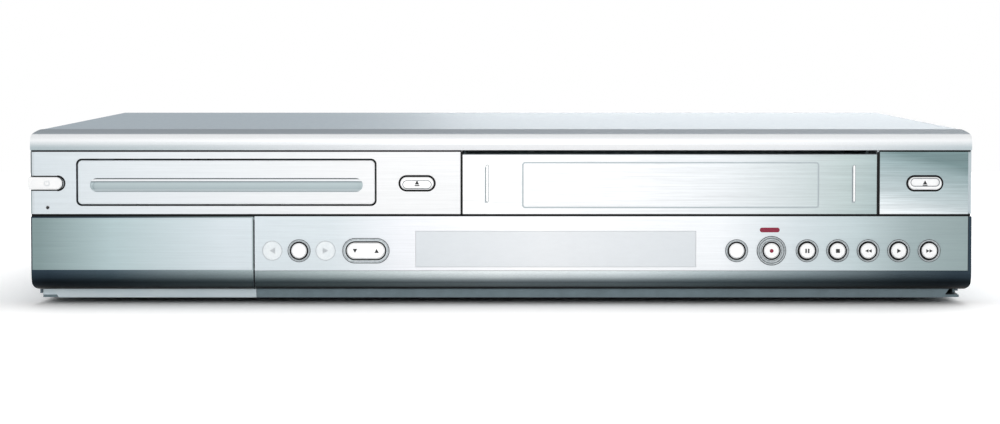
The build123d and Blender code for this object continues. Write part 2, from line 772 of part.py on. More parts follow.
# ---------------------------------------------------------------------------------------------
# Front input bay: flip-down flap, its bright skin, the housing behind it and the sockets in it
# ---------------------------------------------------------------------------------------------
door_pin_reach = 4.6
with BuildPart() as jack_door:
    with BuildSketch(side(door_left)):
        with BuildLine():
            Polyline((0, lower_bottom), (0, door_top), (door_wall, door_top), (door_wall, lower_bottom))
            CenterArc((band_radius, lower_bottom), band_radius - door_wall, 180, 90)
            Line((band_radius, fascia_bottom + door_wall), (band_radius, fascia_bottom))
            CenterArc((band_radius, lower_bottom), band_radius, 180, 90)
        make_face()
    extrude(amount=door_right - door_left)
    # left ear: a full disc that covers the slot in the side; right ear: a quarter disc
    with BuildSketch(side(door_left)):
        with Locations((band_radius, lower_bottom)):
            Circle(band_radius)
    extrude(amount=door_ear)
    with BuildSketch(side(door_right - door_ear)):
        with Locations((band_radius, lower_bottom)):
            Circle(band_radius - door_wall / 2)
            Rectangle(2 * band_radius, 2 * band_radius, align=(Align.MIN, Align.CENTER), mode=Mode.SUBTRACT)
            Rectangle(2 * band_radius, 2 * band_radius, align=(Align.CENTER, Align.MIN), mode=Mode.SUBTRACT)
            Circle(door_pin_radius + 1.5)
    extrude(amount=door_ear)
    # pins
    with BuildSketch(side(door_left + door_ear)):
        with Locations((band_radius, lower_bottom)):
            Circle(door_pin_radius)
    extrude(amount=door_pin_reach)
    with BuildSketch(side(door_right)):
        with Locations((band_radius, lower_bottom)):
            Circle(door_pin_radius)
    extrude(amount=door_right_gap + 1.2)
    with BuildSketch(face(2 * band_radius)):
        with Locations((0, (fascia_bottom + door_top) / 2)):
            Rectangle(-2 * door_left, door_top - fascia_bottom)
        fillet(vertices().group_by(Axis.Y)[0], band_corner)
    extrude(amount=2 * band_radius + 1.0, mode=Mode.INTERSECT)
    # pocket for the skin
    with BuildSketch(face(door_skin)):
        with Locations(((door_left + door_right) / 2, (lower_bottom + door_top) / 2)):
            Rectangle(
                door_right - door_left - 2 * door_skin_margin, door_top - lower_bottom - 2 * door_skin_margin
            )
    extrude(amount=door_skin + 1.0, mode=Mode.SUBTRACT)
save(jack_door, "jack_door")

with BuildPart() as jack_door_skin:
    with BuildSketch(face(door_skin)):
        with Locations(((door_left + door_right) / 2, (lower_bottom + door_top) / 2)):
            Rectangle(
                door_right - door_left - 2 * door_skin_margin - 0.1,
                door_top - lower_bottom - 2 * door_skin_margin - 0.1,
            )
    extrude(amount=door_skin)
save(jack_door_skin, "jack_door_skin")

# The housing: walls, roof, back and floor; its lip is the bright left part of the skirt.
housing_left = -cover_width / 2 + sheet + slip
housing_right = bay_right + housing_wall
housing_floor = fascia_bottom - moving_gap
housing_front = door_wall + 0.6
housing_back = housing_depth + housing_wall
sweep_inner = band_radius - door_wall - moving_gap
sweep_outer = band_radius + moving_gap
with BuildPart() as jack_housing:
    # left wall, cut away where the band swings in
    with BuildSketch(side(housing_left)):
        with Locations(((housing_front + housing_back) / 2, (lower_bottom + 0.4 + sill) / 2)):
            Rectangle(housing_back - housing_front, sill - lower_bottom - 0.4)
        with Locations(((band_radius + sweep_outer + housing_back) / 2, (chassis_top + sill) / 2)):
            Rectangle(housing_back - band_radius - sweep_outer, sill - chassis_top)
        with Locations((band_radius, lower_bottom)):
            Circle(sweep_inner)
            Circle(door_pin_radius + pin_clearance, mode=Mode.SUBTRACT)
    extrude(amount=housing_wall)
    # right wall, behind the lower panel's end
    with BuildSketch(side(bay_right)):
        with Locations(((frame_back + slip + housing_back) / 2, (lower_bottom + sill) / 2)):
            Rectangle(housing_back - frame_back - slip, sill - lower_bottom)
        with Locations(((band_radius + housing_back) / 2, (fascia_bottom + door_wall + slip + sill) / 2)):
            Rectangle(housing_back - band_radius, sill - fascia_bottom - door_wall - slip)
        with Locations((band_radius, lower_bottom)):
            Circle(door_pin_radius + pin_clearance, mode=Mode.SUBTRACT)
    extrude(amount=housing_wall)
    # roof
    with BuildSketch(side(housing_left)):
        with Locations(((housing_front + housing_back) / 2, sill - housing_wall / 2)):
            Rectangle(housing_back - housing_front, housing_wall)
    extrude(amount=bay_right - housing_left)
    # back wall
    with BuildSketch(face(housing_back)):
        with Locations(((housing_left + bay_right) / 2, (chassis_top + sill) / 2)):
            Rectangle(bay_right - housing_left, sill - chassis_top)
    extrude(amount=housing_wall)
    # floor
    with BuildSketch(level(chassis_top)):
        with Locations(((housing_left + bay_right - slip) / 2, (skirt_setback + 1.7 + housing_back) / 2)):
            Rectangle(bay_right - slip - housing_left, housing_back - skirt_setback - 1.7)
    extrude(amount=housing_floor - chassis_top)
    # skirt
    with BuildSketch(face(skirt_setback + 1.7)):
        with BuildLine():
            Polyline(
                (-half_width + skirt_inset, housing_floor),
                (bay_right - slip, housing_floor),
                (bay_right - slip, chassis_bottom),
                (-half_width + skirt_inset + skirt_taper, chassis_bottom),
                close=True,
            )
        make_face()
    extrude(amount=1.7)
save(jack_housing, "jack_housing")

# Sockets in the bay: three phono, one round video, one small digital.
front_jack_x = [-196.0, -182.0, -168.0]
video_socket_x = -147.0
digital_socket_x = -128.0
front_jack_z = lower_bottom + 13.0
with BuildPart() as front_jacks:
    with BuildSketch(face(housing_depth)):
        with Locations(*[(x, front_jack_z) for x in front_jack_x]):
            Circle(jack_radius)
        with Locations((video_socket_x, front_jack_z)):
            Circle(5.5)
        with Locations((digital_socket_x, front_jack_z)):
            Rectangle(8.0, 6.0)
    extrude(amount=6.0)
    with BuildSketch(face(housing_depth - 6.0)):
        with Locations(*[(x, front_jack_z) for x in front_jack_x]):
            Circle(jack_bore)
        with Locations((video_socket_x, front_jack_z)):
            with GridLocations(4.2, 3.4, 2, 2):
                Rectangle(1.2, 1.2)
            with Locations((0, -3.6)):
                Rectangle(2.6, 1.6)
        with Locations((digital_socket_x, front_jack_z)):
            Rectangle(5.6, 3.0)
    extrude(amount=-4.5, mode=Mode.SUBTRACT)
save(front_jacks, "front_jacks")

# ---------------------------------------------------------------------------------------------
# Cassette flap
# ---------------------------------------------------------------------------------------------
flap_height = flap_top - upper_bottom
flap_middle = (flap_top + upper_bottom) / 2
flap_window_z = pill_row_z - 0.8
with BuildPart() as cassette_flap:
    with BuildSketch(face(flap_wall)):
        with Locations((flap_x, flap_middle)):
            Rectangle(flap_width, flap_height)
    extrude(amount=flap_wall)
    fillet(cassette_flap.edges().filter_by(Axis.X).group_by(Axis.Z)[-1], 0.8)
    # a groove draws a panel the size of the tray door; a slot stands at each side of it
    with BuildSketch(face(0)):
        with Locations((flap_x + 0.4, flap_window_z)):
            RectangleRounded(flap_window_width, flap_window_height, 1.5)
            RectangleRounded(
                flap_window_width - 2 * flap_groove, flap_window_height - 2 * flap_groove, 0.8, mode=Mode.SUBTRACT
            )
        with Locations((flap_x - flap_rib_offset, flap_window_z), (flap_x + flap_rib_offset, flap_window_z)):
            Rectangle(flap_rib_width, flap_rib_height)
    extrude(amount=-0.5, mode=Mode.SUBTRACT)
    for x, reach in ((flap_left, -1), (flap_right, 1)):
        with BuildSketch(side(x)):
            with Locations((flap_axis_depth, flap_axis_z)):
                Circle(flap_pin_radius)
        extrude(amount=reach * (flap_side_gap + flap_pin_length - 0.4))
save(cassette_flap, "cassette_flap")

# ---------------------------------------------------------------------------------------------
# Case: chassis, cover, rear panel, feet, screws
# ---------------------------------------------------------------------------------------------
chassis_half = cover_width / 2 - sheet - slip
side_screws = [60.0, rear_inner - rear_foot_margin]
side_screw_z = chassis_bottom + 7.0
rear_screws = [-150.0, 0.0, 150.0]
rear_screw_z = cover_top - 6.0
standoff_height = 7.0
standoff_radius = 3.0
board_corners = []
for x, width, start, length in (
    (main_board_x, main_board_width, main_board_front, main_board_length),
    (power_board_x, power_board_width, power_board_front, power_board_length),
):
    for sx in (-1, 1):
        for y in (start + 6.0, start + length - 6.0):
            board_corners.append((x + sx * (width / 2 - 6.0), y))
with BuildPart() as bottom_chassis:
    with BuildSketch(level(chassis_bottom)):
        with Locations((0, (skirt_setback + 1.9 + rear_inner) / 2)):
            Rectangle(2 * chassis_half, rear_inner - skirt_setback - 1.9)
        with Locations(((bay_right + half_width - skirt_inset - skirt_taper) / 2, skirt_setback + 1.0)):
            Rectangle(half_width - skirt_inset - skirt_taper - bay_right, 2.0)
        with Locations((-90.0, 262.0), (90.0, 262.0), (90.0, 110.0)):
            with GridLocations(7.0, 0, 9, 1):
                Rectangle(3.0, 34.0, mode=Mode.SUBTRACT)
    extrude(amount=chassis_sheet)
    # skirt below the fascia
    with BuildSketch(face(skirt_setback + chassis_sheet)):
        with BuildLine():
            Polyline(
                (bay_right, fascia_bottom),
                (half_width - skirt_inset, fascia_bottom),
                (half_width - skirt_inset - skirt_taper, chassis_bottom),
                (bay_right, chassis_bottom),
                close=True,
            )
        make_face()
    extrude(amount=chassis_sheet)
    # side flanges
    for s in (-1, 1):
        with BuildSketch(level(chassis_bottom)):
            with Locations((s * (chassis_half - chassis_sheet / 2), (frame_depth + 1 + rear_inner) / 2)):
                Rectangle(chassis_sheet, rear_inner - frame_depth - 1)
        extrude(amount=chassis_flange)
    # standoffs for the boards
    with BuildSketch(level(chassis_top)):
        with Locations(*board_corners):
            RegularPolygon(standoff_radius, 6)
    extrude(amount=standoff_height)
    with Locations(*[Location((0, front + y, side_screw_z), (0, 90, 0)) for y in side_screws]):
        Cylinder(screw_radius, 2 * cover_width, mode=Mode.SUBTRACT)
save(bottom_chassis, "bottom_chassis")

cover_depth = body_depth + sheet - cover_front
cover_skirt = chassis_bottom + 2.0
with BuildPart() as top_cover:
    with BuildSketch(face(body_depth + sheet)):
        with Locations((0, (cover_skirt + cover_top) / 2)):
            Rectangle(cover_width, cover_top - cover_skirt)
        fillet(vertices().group_by(Axis.Y)[-1], bend_radius)
    extrude(amount=cover_depth)
    with BuildSketch(face(body_depth)):
        with Locations((0, (cover_skirt + cover_top) / 2 - sheet)):
            Rectangle(cover_width - 2 * sheet, cover_top - cover_skirt)
        fillet(vertices().group_by(Axis.Y)[-1], bend_radius - sheet)
    extrude(amount=cover_depth, mode=Mode.SUBTRACT)
    # the rear edge turns down as a narrow flange
    with BuildSketch(face(body_depth + 2 * sheet)):
        with Locations((0, cover_skirt - 10.0 + (cover_top - 10.0 - cover_skirt) / 2)):
            Rectangle(cover_width - 2 * sheet, cover_top - cover_skirt + 10.0)
    extrude(amount=2 * sheet, mode=Mode.SUBTRACT)
    # side vents
    with Locations(
        *[(0, front + y + 7.0 * i, 52.0) for y in (70.0, rear_inner - 111.0) for i in range(10)]
    ):
        Box(2 * cover_width, 3.0, 26.0, mode=Mode.SUBTRACT)
    # the fascia's mouldings and the swinging band pass the front lower corners
    with Locations(Location((-half_width, front + band_radius, lower_bottom), (0, 90, 0))):
        Cylinder(band_radius + 0.4, 12.0, mode=Mode.SUBTRACT)
    corner_height = fascia_bottom + door_wall + slip - cover_skirt
    with Locations((half_width, front + (cover_front + frame_depth) / 2, cover_skirt + corner_height / 2)):
        Box(12.0, frame_depth - cover_front + 2 * slip, corner_height, mode=Mode.SUBTRACT)
    with Locations(*[Location((0, front + y, side_screw_z), (0, 90, 0)) for y in side_screws]):
        Cylinder(screw_radius, 2 * cover_width, mode=Mode.SUBTRACT)
    with Locations(
        *[Location((x, front + body_depth + sheet / 2, rear_screw_z), (90, 0, 0)) for x in rear_screws]
    ):
        Cylinder(screw_radius, 4.0, mode=Mode.SUBTRACT)
save(top_cover, "top_cover")

with BuildPart() as cover_screws:
    for s in (-1, 1):
        for y in side_screws:
            with BuildSketch(side(s * cover_width / 2)):
                with Locations((y, side_screw_z)):
                    Circle(screw_head_radius)
            extrude(amount=s * screw_head_height)
            with BuildSketch(side(s * cover_width / 2)):
                with Locations((y, side_screw_z)):
                    RegularPolygon(screw_radius, 8)
            extrude(amount=-s * 4.0)
    for x in rear_screws:
        with BuildSketch(face(body_depth + sheet)):
            with Locations((x, rear_screw_z)):
                Circle(screw_head_radius)
        extrude(amount=-screw_head_height)
        with BuildSketch(face(body_depth + sheet)):
            with Locations((x, rear_screw_z)):
                RegularPolygon(screw_radius, 8)
        extrude(amount=4.0)
save(cover_screws, "cover_screws")

foot_radius = 12.0
foot_x = chassis_half - foot_inset
foot_y = [48.0, rear_inner - rear_foot_margin]
with BuildPart() as feet:
    with BuildSketch(level(0)):
        with Locations(*[(s * foot_x, y) for s in (-1, 1) for y in foot_y]):
            Circle(foot_radius)
    extrude(amount=foot_height)
save(feet, "feet")

fan_grille_pitch = 5.4
with BuildPart() as rear_panel:
    with BuildSketch(face(body_depth)):
        with Locations((0, (chassis_bottom + cover_top - sheet - slip) / 2)):
            Rectangle(2 * chassis_half, cover_top - sheet - slip - chassis_bottom)
        fillet(vertices().group_by(Axis.Y)[-1], bend_radius - sheet)
        for i in range(-3, 4):
            reach = sqrt(fan_bore**2 - (i * fan_grille_pitch) ** 2)
            with Locations((fan_x, fan_z + i * fan_grille_pitch)):
                Rectangle(2 * reach, 3.0, mode=Mode.SUBTRACT)
        with Locations((scart_first_x, scart_z), (scart_first_x + scart_pitch, scart_z)):
            Rectangle(scart_width + 0.4, scart_height + 0.4, mode=Mode.SUBTRACT)
        with Locations((rear_jack_x, rear_jack_z)):
            with GridLocations(jack_pitch, jack_pitch, 3, 2):
                Circle(jack_radius + 0.2, mode=Mode.SUBTRACT)
        with Locations((aerial_x, aerial_z)):
            with GridLocations(0, aerial_pitch, 1, 2):
                Circle(aerial_radius + 0.2, mode=Mode.SUBTRACT)
        with Locations((inlet_x, inlet_z)):
            SlotOverall(inlet_width + 3.4, inlet_height + 3.4, mode=Mode.SUBTRACT)
        with Locations(*[(x, rear_screw_z) for x in rear_screws]):
            Circle(screw_radius, mode=Mode.SUBTRACT)
    extrude(amount=sheet)
save(rear_panel, "rear_panel")

# ---------------------------------------------------------------------------------------------
# Disc loader
# ---------------------------------------------------------------------------------------------
with BuildPart() as tray_front:
    with BuildSketch(face(tray_door_wall)):
        with Locations((tray_x, tray_z)):
            RectangleRounded(tray_door_width, tray_door_height, tray_door_corner)
    extrude(amount=tray_door_wall)
    chamfer(tray_front.edges().group_by(Axis.Y)[0], 0.3)
    # finger groove: a slope leads in from above, the floor is flat
    with BuildSketch(face(0)):
        with Locations((tray_x, pill_row_z - 0.8)):
            SlotOverall(grip_length, grip_height)
    extrude(amount=-0.6, mode=Mode.SUBTRACT)
    with BuildSketch(face(0)):
        with Locations((tray_x, pill_row_z - 1.3)):
            SlotOverall(grip_length - 2.2, grip_height - 1.8)
    extrude(amount=-grip_depth, mode=Mode.SUBTRACT)
save(tray_front, "tray_front")

# The tray carries a rack below its left edge. Its teeth have straight flanks at the pressure angle.
pinion_pitch_radius = tooth_module * pinion_teeth / 2
rack_line = tray_x - 59.0
pinion_x = rack_line + pinion_pitch_radius
rack_bottom = tray_bottom - moving_gap - pinion_thickness
rack_root = rack_line - 1.25 * tooth_module
rack_tip = rack_line + 0.95 * tooth_module
tooth_pitch = pi * tooth_module
flank = tan(radians(pressure_angle))
rack_half_tooth = tooth_pitch / 4 - backlash / 4
rack_reach = 20.0  # rack extends this far beyond the tray's meshing length
rack_teeth = int((tray_travel + rack_reach) / tooth_pitch)
rack_first = pinion_depth - 3 * tooth_pitch
with BuildPart() as disc_tray:
    with BuildSketch(level(tray_bottom)):
        with Locations((tray_x, tray_door_wall + tray_length / 2)):
            Rectangle(tray_width, tray_length)
        slot_start = disc_depth - tray_slot_front
        with Locations((tray_x, (slot_start + tray_door_wall + tray_length) / 2)):
            Rectangle(tray_slot_width, tray_door_wall + tray_length - slot_start, mode=Mode.SUBTRACT)
        fillet(vertices().group_by(Axis.Y)[1], 12.0)
    extrude(amount=tray_wall)
    with BuildSketch(level(tray_bottom)):
        for s in (-1, 1):
            with Locations((tray_x + s * (tray_width + tray_rail_width) / 2, tray_door_wall + tray_length / 2)):
                Rectangle(tray_rail_width, tray_length)
    extrude(amount=tray_rail_height)
    with BuildSketch(level(tray_top)):
        with Locations((tray_x, disc_depth)):
            Circle(disc_pocket_radius)
    extrude(amount=-disc_pocket_depth, mode=Mode.SUBTRACT)
    with BuildSketch(level(tray_top)):
        with Locations((tray_x, disc_depth)):
            Circle(small_pocket_radius)
    extrude(amount=-disc_pocket_depth - small_pocket_depth, mode=Mode.SUBTRACT)
    with BuildSketch(level(rack_bottom)):
        with Locations((rack_root - 1.4, rack_first + rack_teeth * tooth_pitch / 2 - tooth_pitch / 2)):
            Rectangle(2.8, rack_teeth * tooth_pitch)
        for i in range(rack_teeth):
            y = rack_first + i * tooth_pitch
            root_half = rack_half_tooth + (rack_line - rack_root) * flank
            tip_half = rack_half_tooth - (rack_tip - rack_line) * flank
            with BuildLine():
                Polyline(
                    (rack_root - 0.2, y - root_half),
                    (rack_root, y - root_half),
                    (rack_tip, y - tip_half),
                    (rack_tip, y + tip_half),
                    (rack_root, y + root_half),
                    (rack_root - 0.2, y + root_half),
                    close=True,
                )
            make_face()
    extrude(amount=tray_bottom - rack_bottom)
save(disc_tray, "disc_tray")

# The pinion's flanks are involutes of the base circle; a space faces the rack tooth at rest.
base_radius = pinion_pitch_radius * cos(radians(pressure_angle))
pinion_tip = pinion_pitch_radius + 0.95 * tooth_module
pinion_root = pinion_pitch_radius - 1.25 * tooth_module
pinion_half_tooth = tooth_pitch / 4 - backlash / 4
post_radius = 2.0


def involute(angle):
    """Involute function of a pressure angle, both in radians."""
    return tan(angle) - angle


def half_tooth_angle(radius):
    """Half the angle a pinion tooth fills at that radius, in radians."""
    at_pitch = pinion_half_tooth / pinion_pitch_radius
    local = acos(base_radius / max(radius, base_radius))
    return at_pitch + involute(radians(pressure_angle)) - involute(local)


def polar(radius, angle):
    """A point that far from the pinion's axis, at that angle in radians."""
    return (pinion_x + radius * cos(angle), pinion_depth + radius * sin(angle))


flank_radii = [pinion_root, base_radius, base_radius + 0.45, pinion_pitch_radius + 0.25, pinion_tip]
pinion_outline = []
for tooth in range(pinion_teeth):
    middle = pi + (tooth + 0.5) * 2 * pi / pinion_teeth
    for radius in flank_radii:
        pinion_outline.append(polar(radius, middle - half_tooth_angle(radius)))
    for radius in reversed(flank_radii):
        pinion_outline.append(polar(radius, middle + half_tooth_angle(radius)))
with BuildPart() as loading_gear:
    with BuildSketch(level(rack_bottom)):
        with BuildLine():
            Polyline(*pinion_outline, close=True)
        make_face()
        with Locations((pinion_x, pinion_depth)):
            Circle(post_radius + pin_clearance, mode=Mode.SUBTRACT)
    extrude(amount=pinion_thickness)
    # a grooved pulley for the motor's belt hangs below the teeth
    with BuildSketch(level(rack_bottom - 4.5)):
        with Locations((pinion_x, pinion_depth)):
            Circle(7.5)
            Circle(post_radius + pin_clearance, mode=Mode.SUBTRACT)
    extrude(amount=4.5)
    with BuildSketch(level(rack_bottom - 3.2)):
        with Locations((pinion_x, pinion_depth)):
            Circle(8.0)
            Circle(6.3, mode=Mode.SUBTRACT)
    extrude(amount=1.6, mode=Mode.SUBTRACT)
save(loading_gear, "loading_gear")

loader_floor = tray_bottom - loader_drop
loader_seat = loader_floor + loader_floor_wall
lip_bottom = tray_bottom + tray_rail_height + moving_gap
lip_top = lip_bottom + lip_height
wall_inner = tray_width / 2 + moving_gap
wall_outer = wall_inner + tray_rail_width + loader_wall
traverse_base = loader_seat + 2.5
traverse_middle = traverse_front + traverse_length / 2
guide_spots = [
    (tray_x + s * (traverse_width / 2 - 5.0), y)
    for s in (-1, 1)
    for y in (traverse_front + 6.0, traverse_front + traverse_length - 6.0)
]
pad_spots = [
    (tray_x + s * (traverse_width / 2 - 5.0), y)
    for s in (-1, 1)
    for y in (traverse_front + 16.0, traverse_front + traverse_length - 16.0)
]
with BuildPart() as loader_frame:
    with BuildSketch(level(loader_floor)):
        with Locations((tray_x, loader_front + loader_length / 2)):
            Rectangle(2 * wall_outer, loader_length)
        with Locations((tray_x, traverse_middle)):
            Rectangle(traverse_width - 26.0, traverse_length - 20.0, mode=Mode.SUBTRACT)
    extrude(amount=loader_floor_wall)
    for s in (-1, 1):
        with BuildSketch(face(loader_front + loader_length)):
            with Locations((tray_x + s * (wall_inner + wall_outer) / 2, (loader_floor + lip_top) / 2)):
                Rectangle(wall_outer - wall_inner, lip_top - loader_floor)
            groove_bottom = tray_bottom - moving_gap
            with Locations((tray_x + s * (wall_inner + tray_rail_width / 2), (groove_bottom + lip_bottom) / 2)):
                Rectangle(tray_rail_width, lip_bottom - groove_bottom, mode=Mode.SUBTRACT)
        extrude(amount=loader_length)
    # legs, traverse guides and pads, the pinion's post
    with BuildSketch(level(chassis_top)):
        for s in (-1, 1):
            for y in (loader_front + 16.0, loader_front + loader_length - 8.0):
                with Locations((tray_x + s * (wall_outer - leg_size / 2), y)):
                    Rectangle(leg_size, leg_size)
    extrude(amount=loader_floor - chassis_top)
    with BuildSketch(level(loader_seat)):
        with Locations(*guide_spots):
            Circle(guide_radius)
    extrude(amount=rack_bottom - loader_seat)
    with BuildSketch(level(loader_seat)):
        with Locations(*pad_spots):
            Rectangle(5.0, 5.0)
    extrude(amount=traverse_base - moving_gap - loader_seat)
    with BuildSketch(level(loader_seat)):
        with Locations((pinion_x, pinion_depth)):
            Circle(post_radius)
    extrude(amount=rack_bottom + pinion_thickness - loader_seat)
    with BuildSketch(level(loader_seat)):
        with Locations((pinion_x, pinion_depth)):
            Circle(post_radius + 1.6)
    extrude(amount=rack_bottom - 4.5 - moving_gap - loader_seat)
save(loader_frame, "loader_frame")

clamper_clearance = 0.5
with BuildPart() as clamp_bridge:
    with BuildSketch(level(lip_top)):
        with Locations((tray_x, disc_depth)):
            Rectangle(2 * wall_outer, bridge_width)
            Circle(clamper_neck + clamper_clearance, mode=Mode.SUBTRACT)
        for s in (-1, 1):
            with Locations((tray_x + s * 42.0, disc_depth)):
                RectangleRounded(24.0, 20.0, 3.0, mode=Mode.SUBTRACT)
    extrude(amount=bridge_wall)
save(clamp_bridge, "clamp_bridge")

clamper_bottom = tray_top + 0.4
clamper_seat = lip_top + bridge_wall + moving_gap
with BuildPart() as clamper:
    with BuildSketch(level(clamper_bottom)):
        with Locations((tray_x, disc_depth)):
            Circle(clamper_neck)
    extrude(amount=clamper_seat - clamper_bottom)
    with BuildSketch(level(clamper_seat)):
        with Locations((tray_x, disc_depth)):
            Circle(clamper_radius)
    extrude(amount=1.6)
    with BuildSketch(level(clamper_bottom)):
        with Locations((tray_x, disc_depth)):
            Circle(clamper_recess)
    extrude(amount=2.6, mode=Mode.SUBTRACT)
save(clamper, "clamper")

turntable_top = tray_bottom - turntable_drop
turntable_seat = turntable_top - turntable_wall
rod_z = traverse_base + traverse_wall + rod_radius + 0.3
lug_height = 2 * rod_radius + 1.0
sled_y = disc_depth + sled_inner
window_front = sled_y - sled_length / 2 - 0.4
window_back = sled_y + sled_length / 2 + sled_travel + 0.8
with BuildPart() as traverse:
    with BuildSketch(level(traverse_base)):
        with Locations((tray_x, traverse_middle)):
            RectangleRounded(traverse_width, traverse_length, 4.0)
        with Locations((tray_x, (window_front + window_back) / 2)):
            Rectangle(sled_width + 4.0, window_back - window_front, mode=Mode.SUBTRACT)
        with Locations(*guide_spots):
            Circle(guide_radius + 0.1, mode=Mode.SUBTRACT)
    extrude(amount=traverse_wall)
    # spindle motor
    with BuildSketch(level(traverse_base + traverse_wall)):
        with Locations((tray_x, disc_depth)):
            Circle(motor_radius)
    extrude(amount=turntable_seat - moving_gap - traverse_base - traverse_wall)
    with BuildSketch(level(turntable_seat - moving_gap)):
        with Locations((tray_x, disc_depth)):
            Circle(spindle_radius)
    extrude(amount=turntable_wall + moving_gap)
    # rods for the sled
    for s in (-1, 1):
        with Locations(
            Location(
                (tray_x + s * rod_spacing / 2, front + (window_front + window_back) / 2, rod_z), (90, 0, 0)
            )
        ):
            Cylinder(rod_radius, window_back - window_front + 6.0)
        for y in (window_front - 2.0, window_back + 2.0):
            with Locations((tray_x + s * rod_spacing / 2, front + y, traverse_base + traverse_wall)):
                Box(6.0, 3.0, lug_height, align=(Align.CENTER, Align.CENTER, Align.MIN))
save(traverse, "traverse")

with BuildPart() as turntable:
    with BuildSketch(level(turntable_seat)):
        with Locations((tray_x, disc_depth)):
            Circle(turntable_radius)
    extrude(amount=turntable_wall)
    with BuildSketch(level(turntable_top)):
        with Locations((tray_x, disc_depth)):
            Circle(hub_radius)
    extrude(amount=hub_height)
    chamfer(turntable.edges().group_by(Axis.Z)[-1], 0.8)
    with BuildSketch(level(turntable_seat)):
        with Locations((tray_x, disc_depth)):
            Circle(spindle_radius + pin_clearance)
    extrude(amount=turntable_wall + 0.1, mode=Mode.SUBTRACT)
save(turntable, "turntable")

with BuildPart() as pickup_sled:
    with BuildSketch(level(rod_z - sled_height / 2)):
        with Locations((tray_x, sled_y)):
            Rectangle(sled_width, sled_length)
    extrude(amount=sled_height)
    with BuildSketch(level(rod_z + sled_height / 2)):
        with Locations((tray_x, sled_y)):
            RectangleRounded(lens_block + 6.0, lens_block, 2.0)
    extrude(amount=3.0)
    with BuildSketch(level(rod_z + sled_height / 2 + 3.0)):
        with Locations((tray_x, sled_y)):
            Circle(3.0)
    extrude(amount=0.8)
    for s in (-1, 1):
        with Locations(Location((tray_x + s * rod_spacing / 2, front + sled_y, rod_z), (90, 0, 0))):
            Cylinder(rod_radius + pin_clearance, sled_length, mode=Mode.SUBTRACT)
save(pickup_sled, "pickup_sled")

# ---------------------------------------------------------------------------------------------
# Cassette deck
# ---------------------------------------------------------------------------------------------
deck_top = deck_level + deck_wall
cage_bottom = sill + cage_rise
cage_half = cage_inner_width / 2 + cage_wall
cage_top = cage_bottom + cage_wall + cage_inner_height + cage_wall
cage_pin_z = cage_bottom + 14.0
cage_pin_y = [cage_front + 12.0, cage_front + 72.0]
cage_pin_radius = 1.45
deck_wall_inner = cage_half + deck_side_gap
deck_wall_outer = deck_wall_inner + deck_wall
with BuildPart() as cassette_cage:
    with BuildSketch(face(cage_front + cage_length)):
        with Locations((flap_x, (cage_bottom + cage_top) / 2)):
            Rectangle(2 * cage_half, cage_top - cage_bottom)
            Rectangle(cage_inner_width, cage_inner_height, mode=Mode.SUBTRACT)
        with Locations((flap_x, cage_bottom + cage_wall / 2)):
            Rectangle(cage_inner_width - 2 * cage_ledge, cage_wall, mode=Mode.SUBTRACT)
    extrude(amount=cage_length)
    # stop for the cassette at the rear
    with BuildSketch(face(cage_front + cage_length)):
        with Locations((flap_x, cage_top - 4.0)):
            Rectangle(2 * cage_half, 8.0)
    extrude(amount=cage_wall)
    # window in the roof
    with BuildSketch(level(cage_top)):
        with Locations((flap_x, cage_front + cage_length / 2 - 4.0)):
            RectangleRounded(120.0, 56.0, 6.0, mode=Mode.ADD)
    extrude(amount=-cage_wall, mode=Mode.SUBTRACT)
    for s in (-1, 1):
        for y in cage_pin_y:
            with BuildSketch(side(flap_x + s * cage_half)):
                with Locations((y, cage_pin_z)):
                    Circle(cage_pin_radius)
            extrude(amount=s * (deck_side_gap + deck_wall))
save(cassette_cage, "cassette_cage")

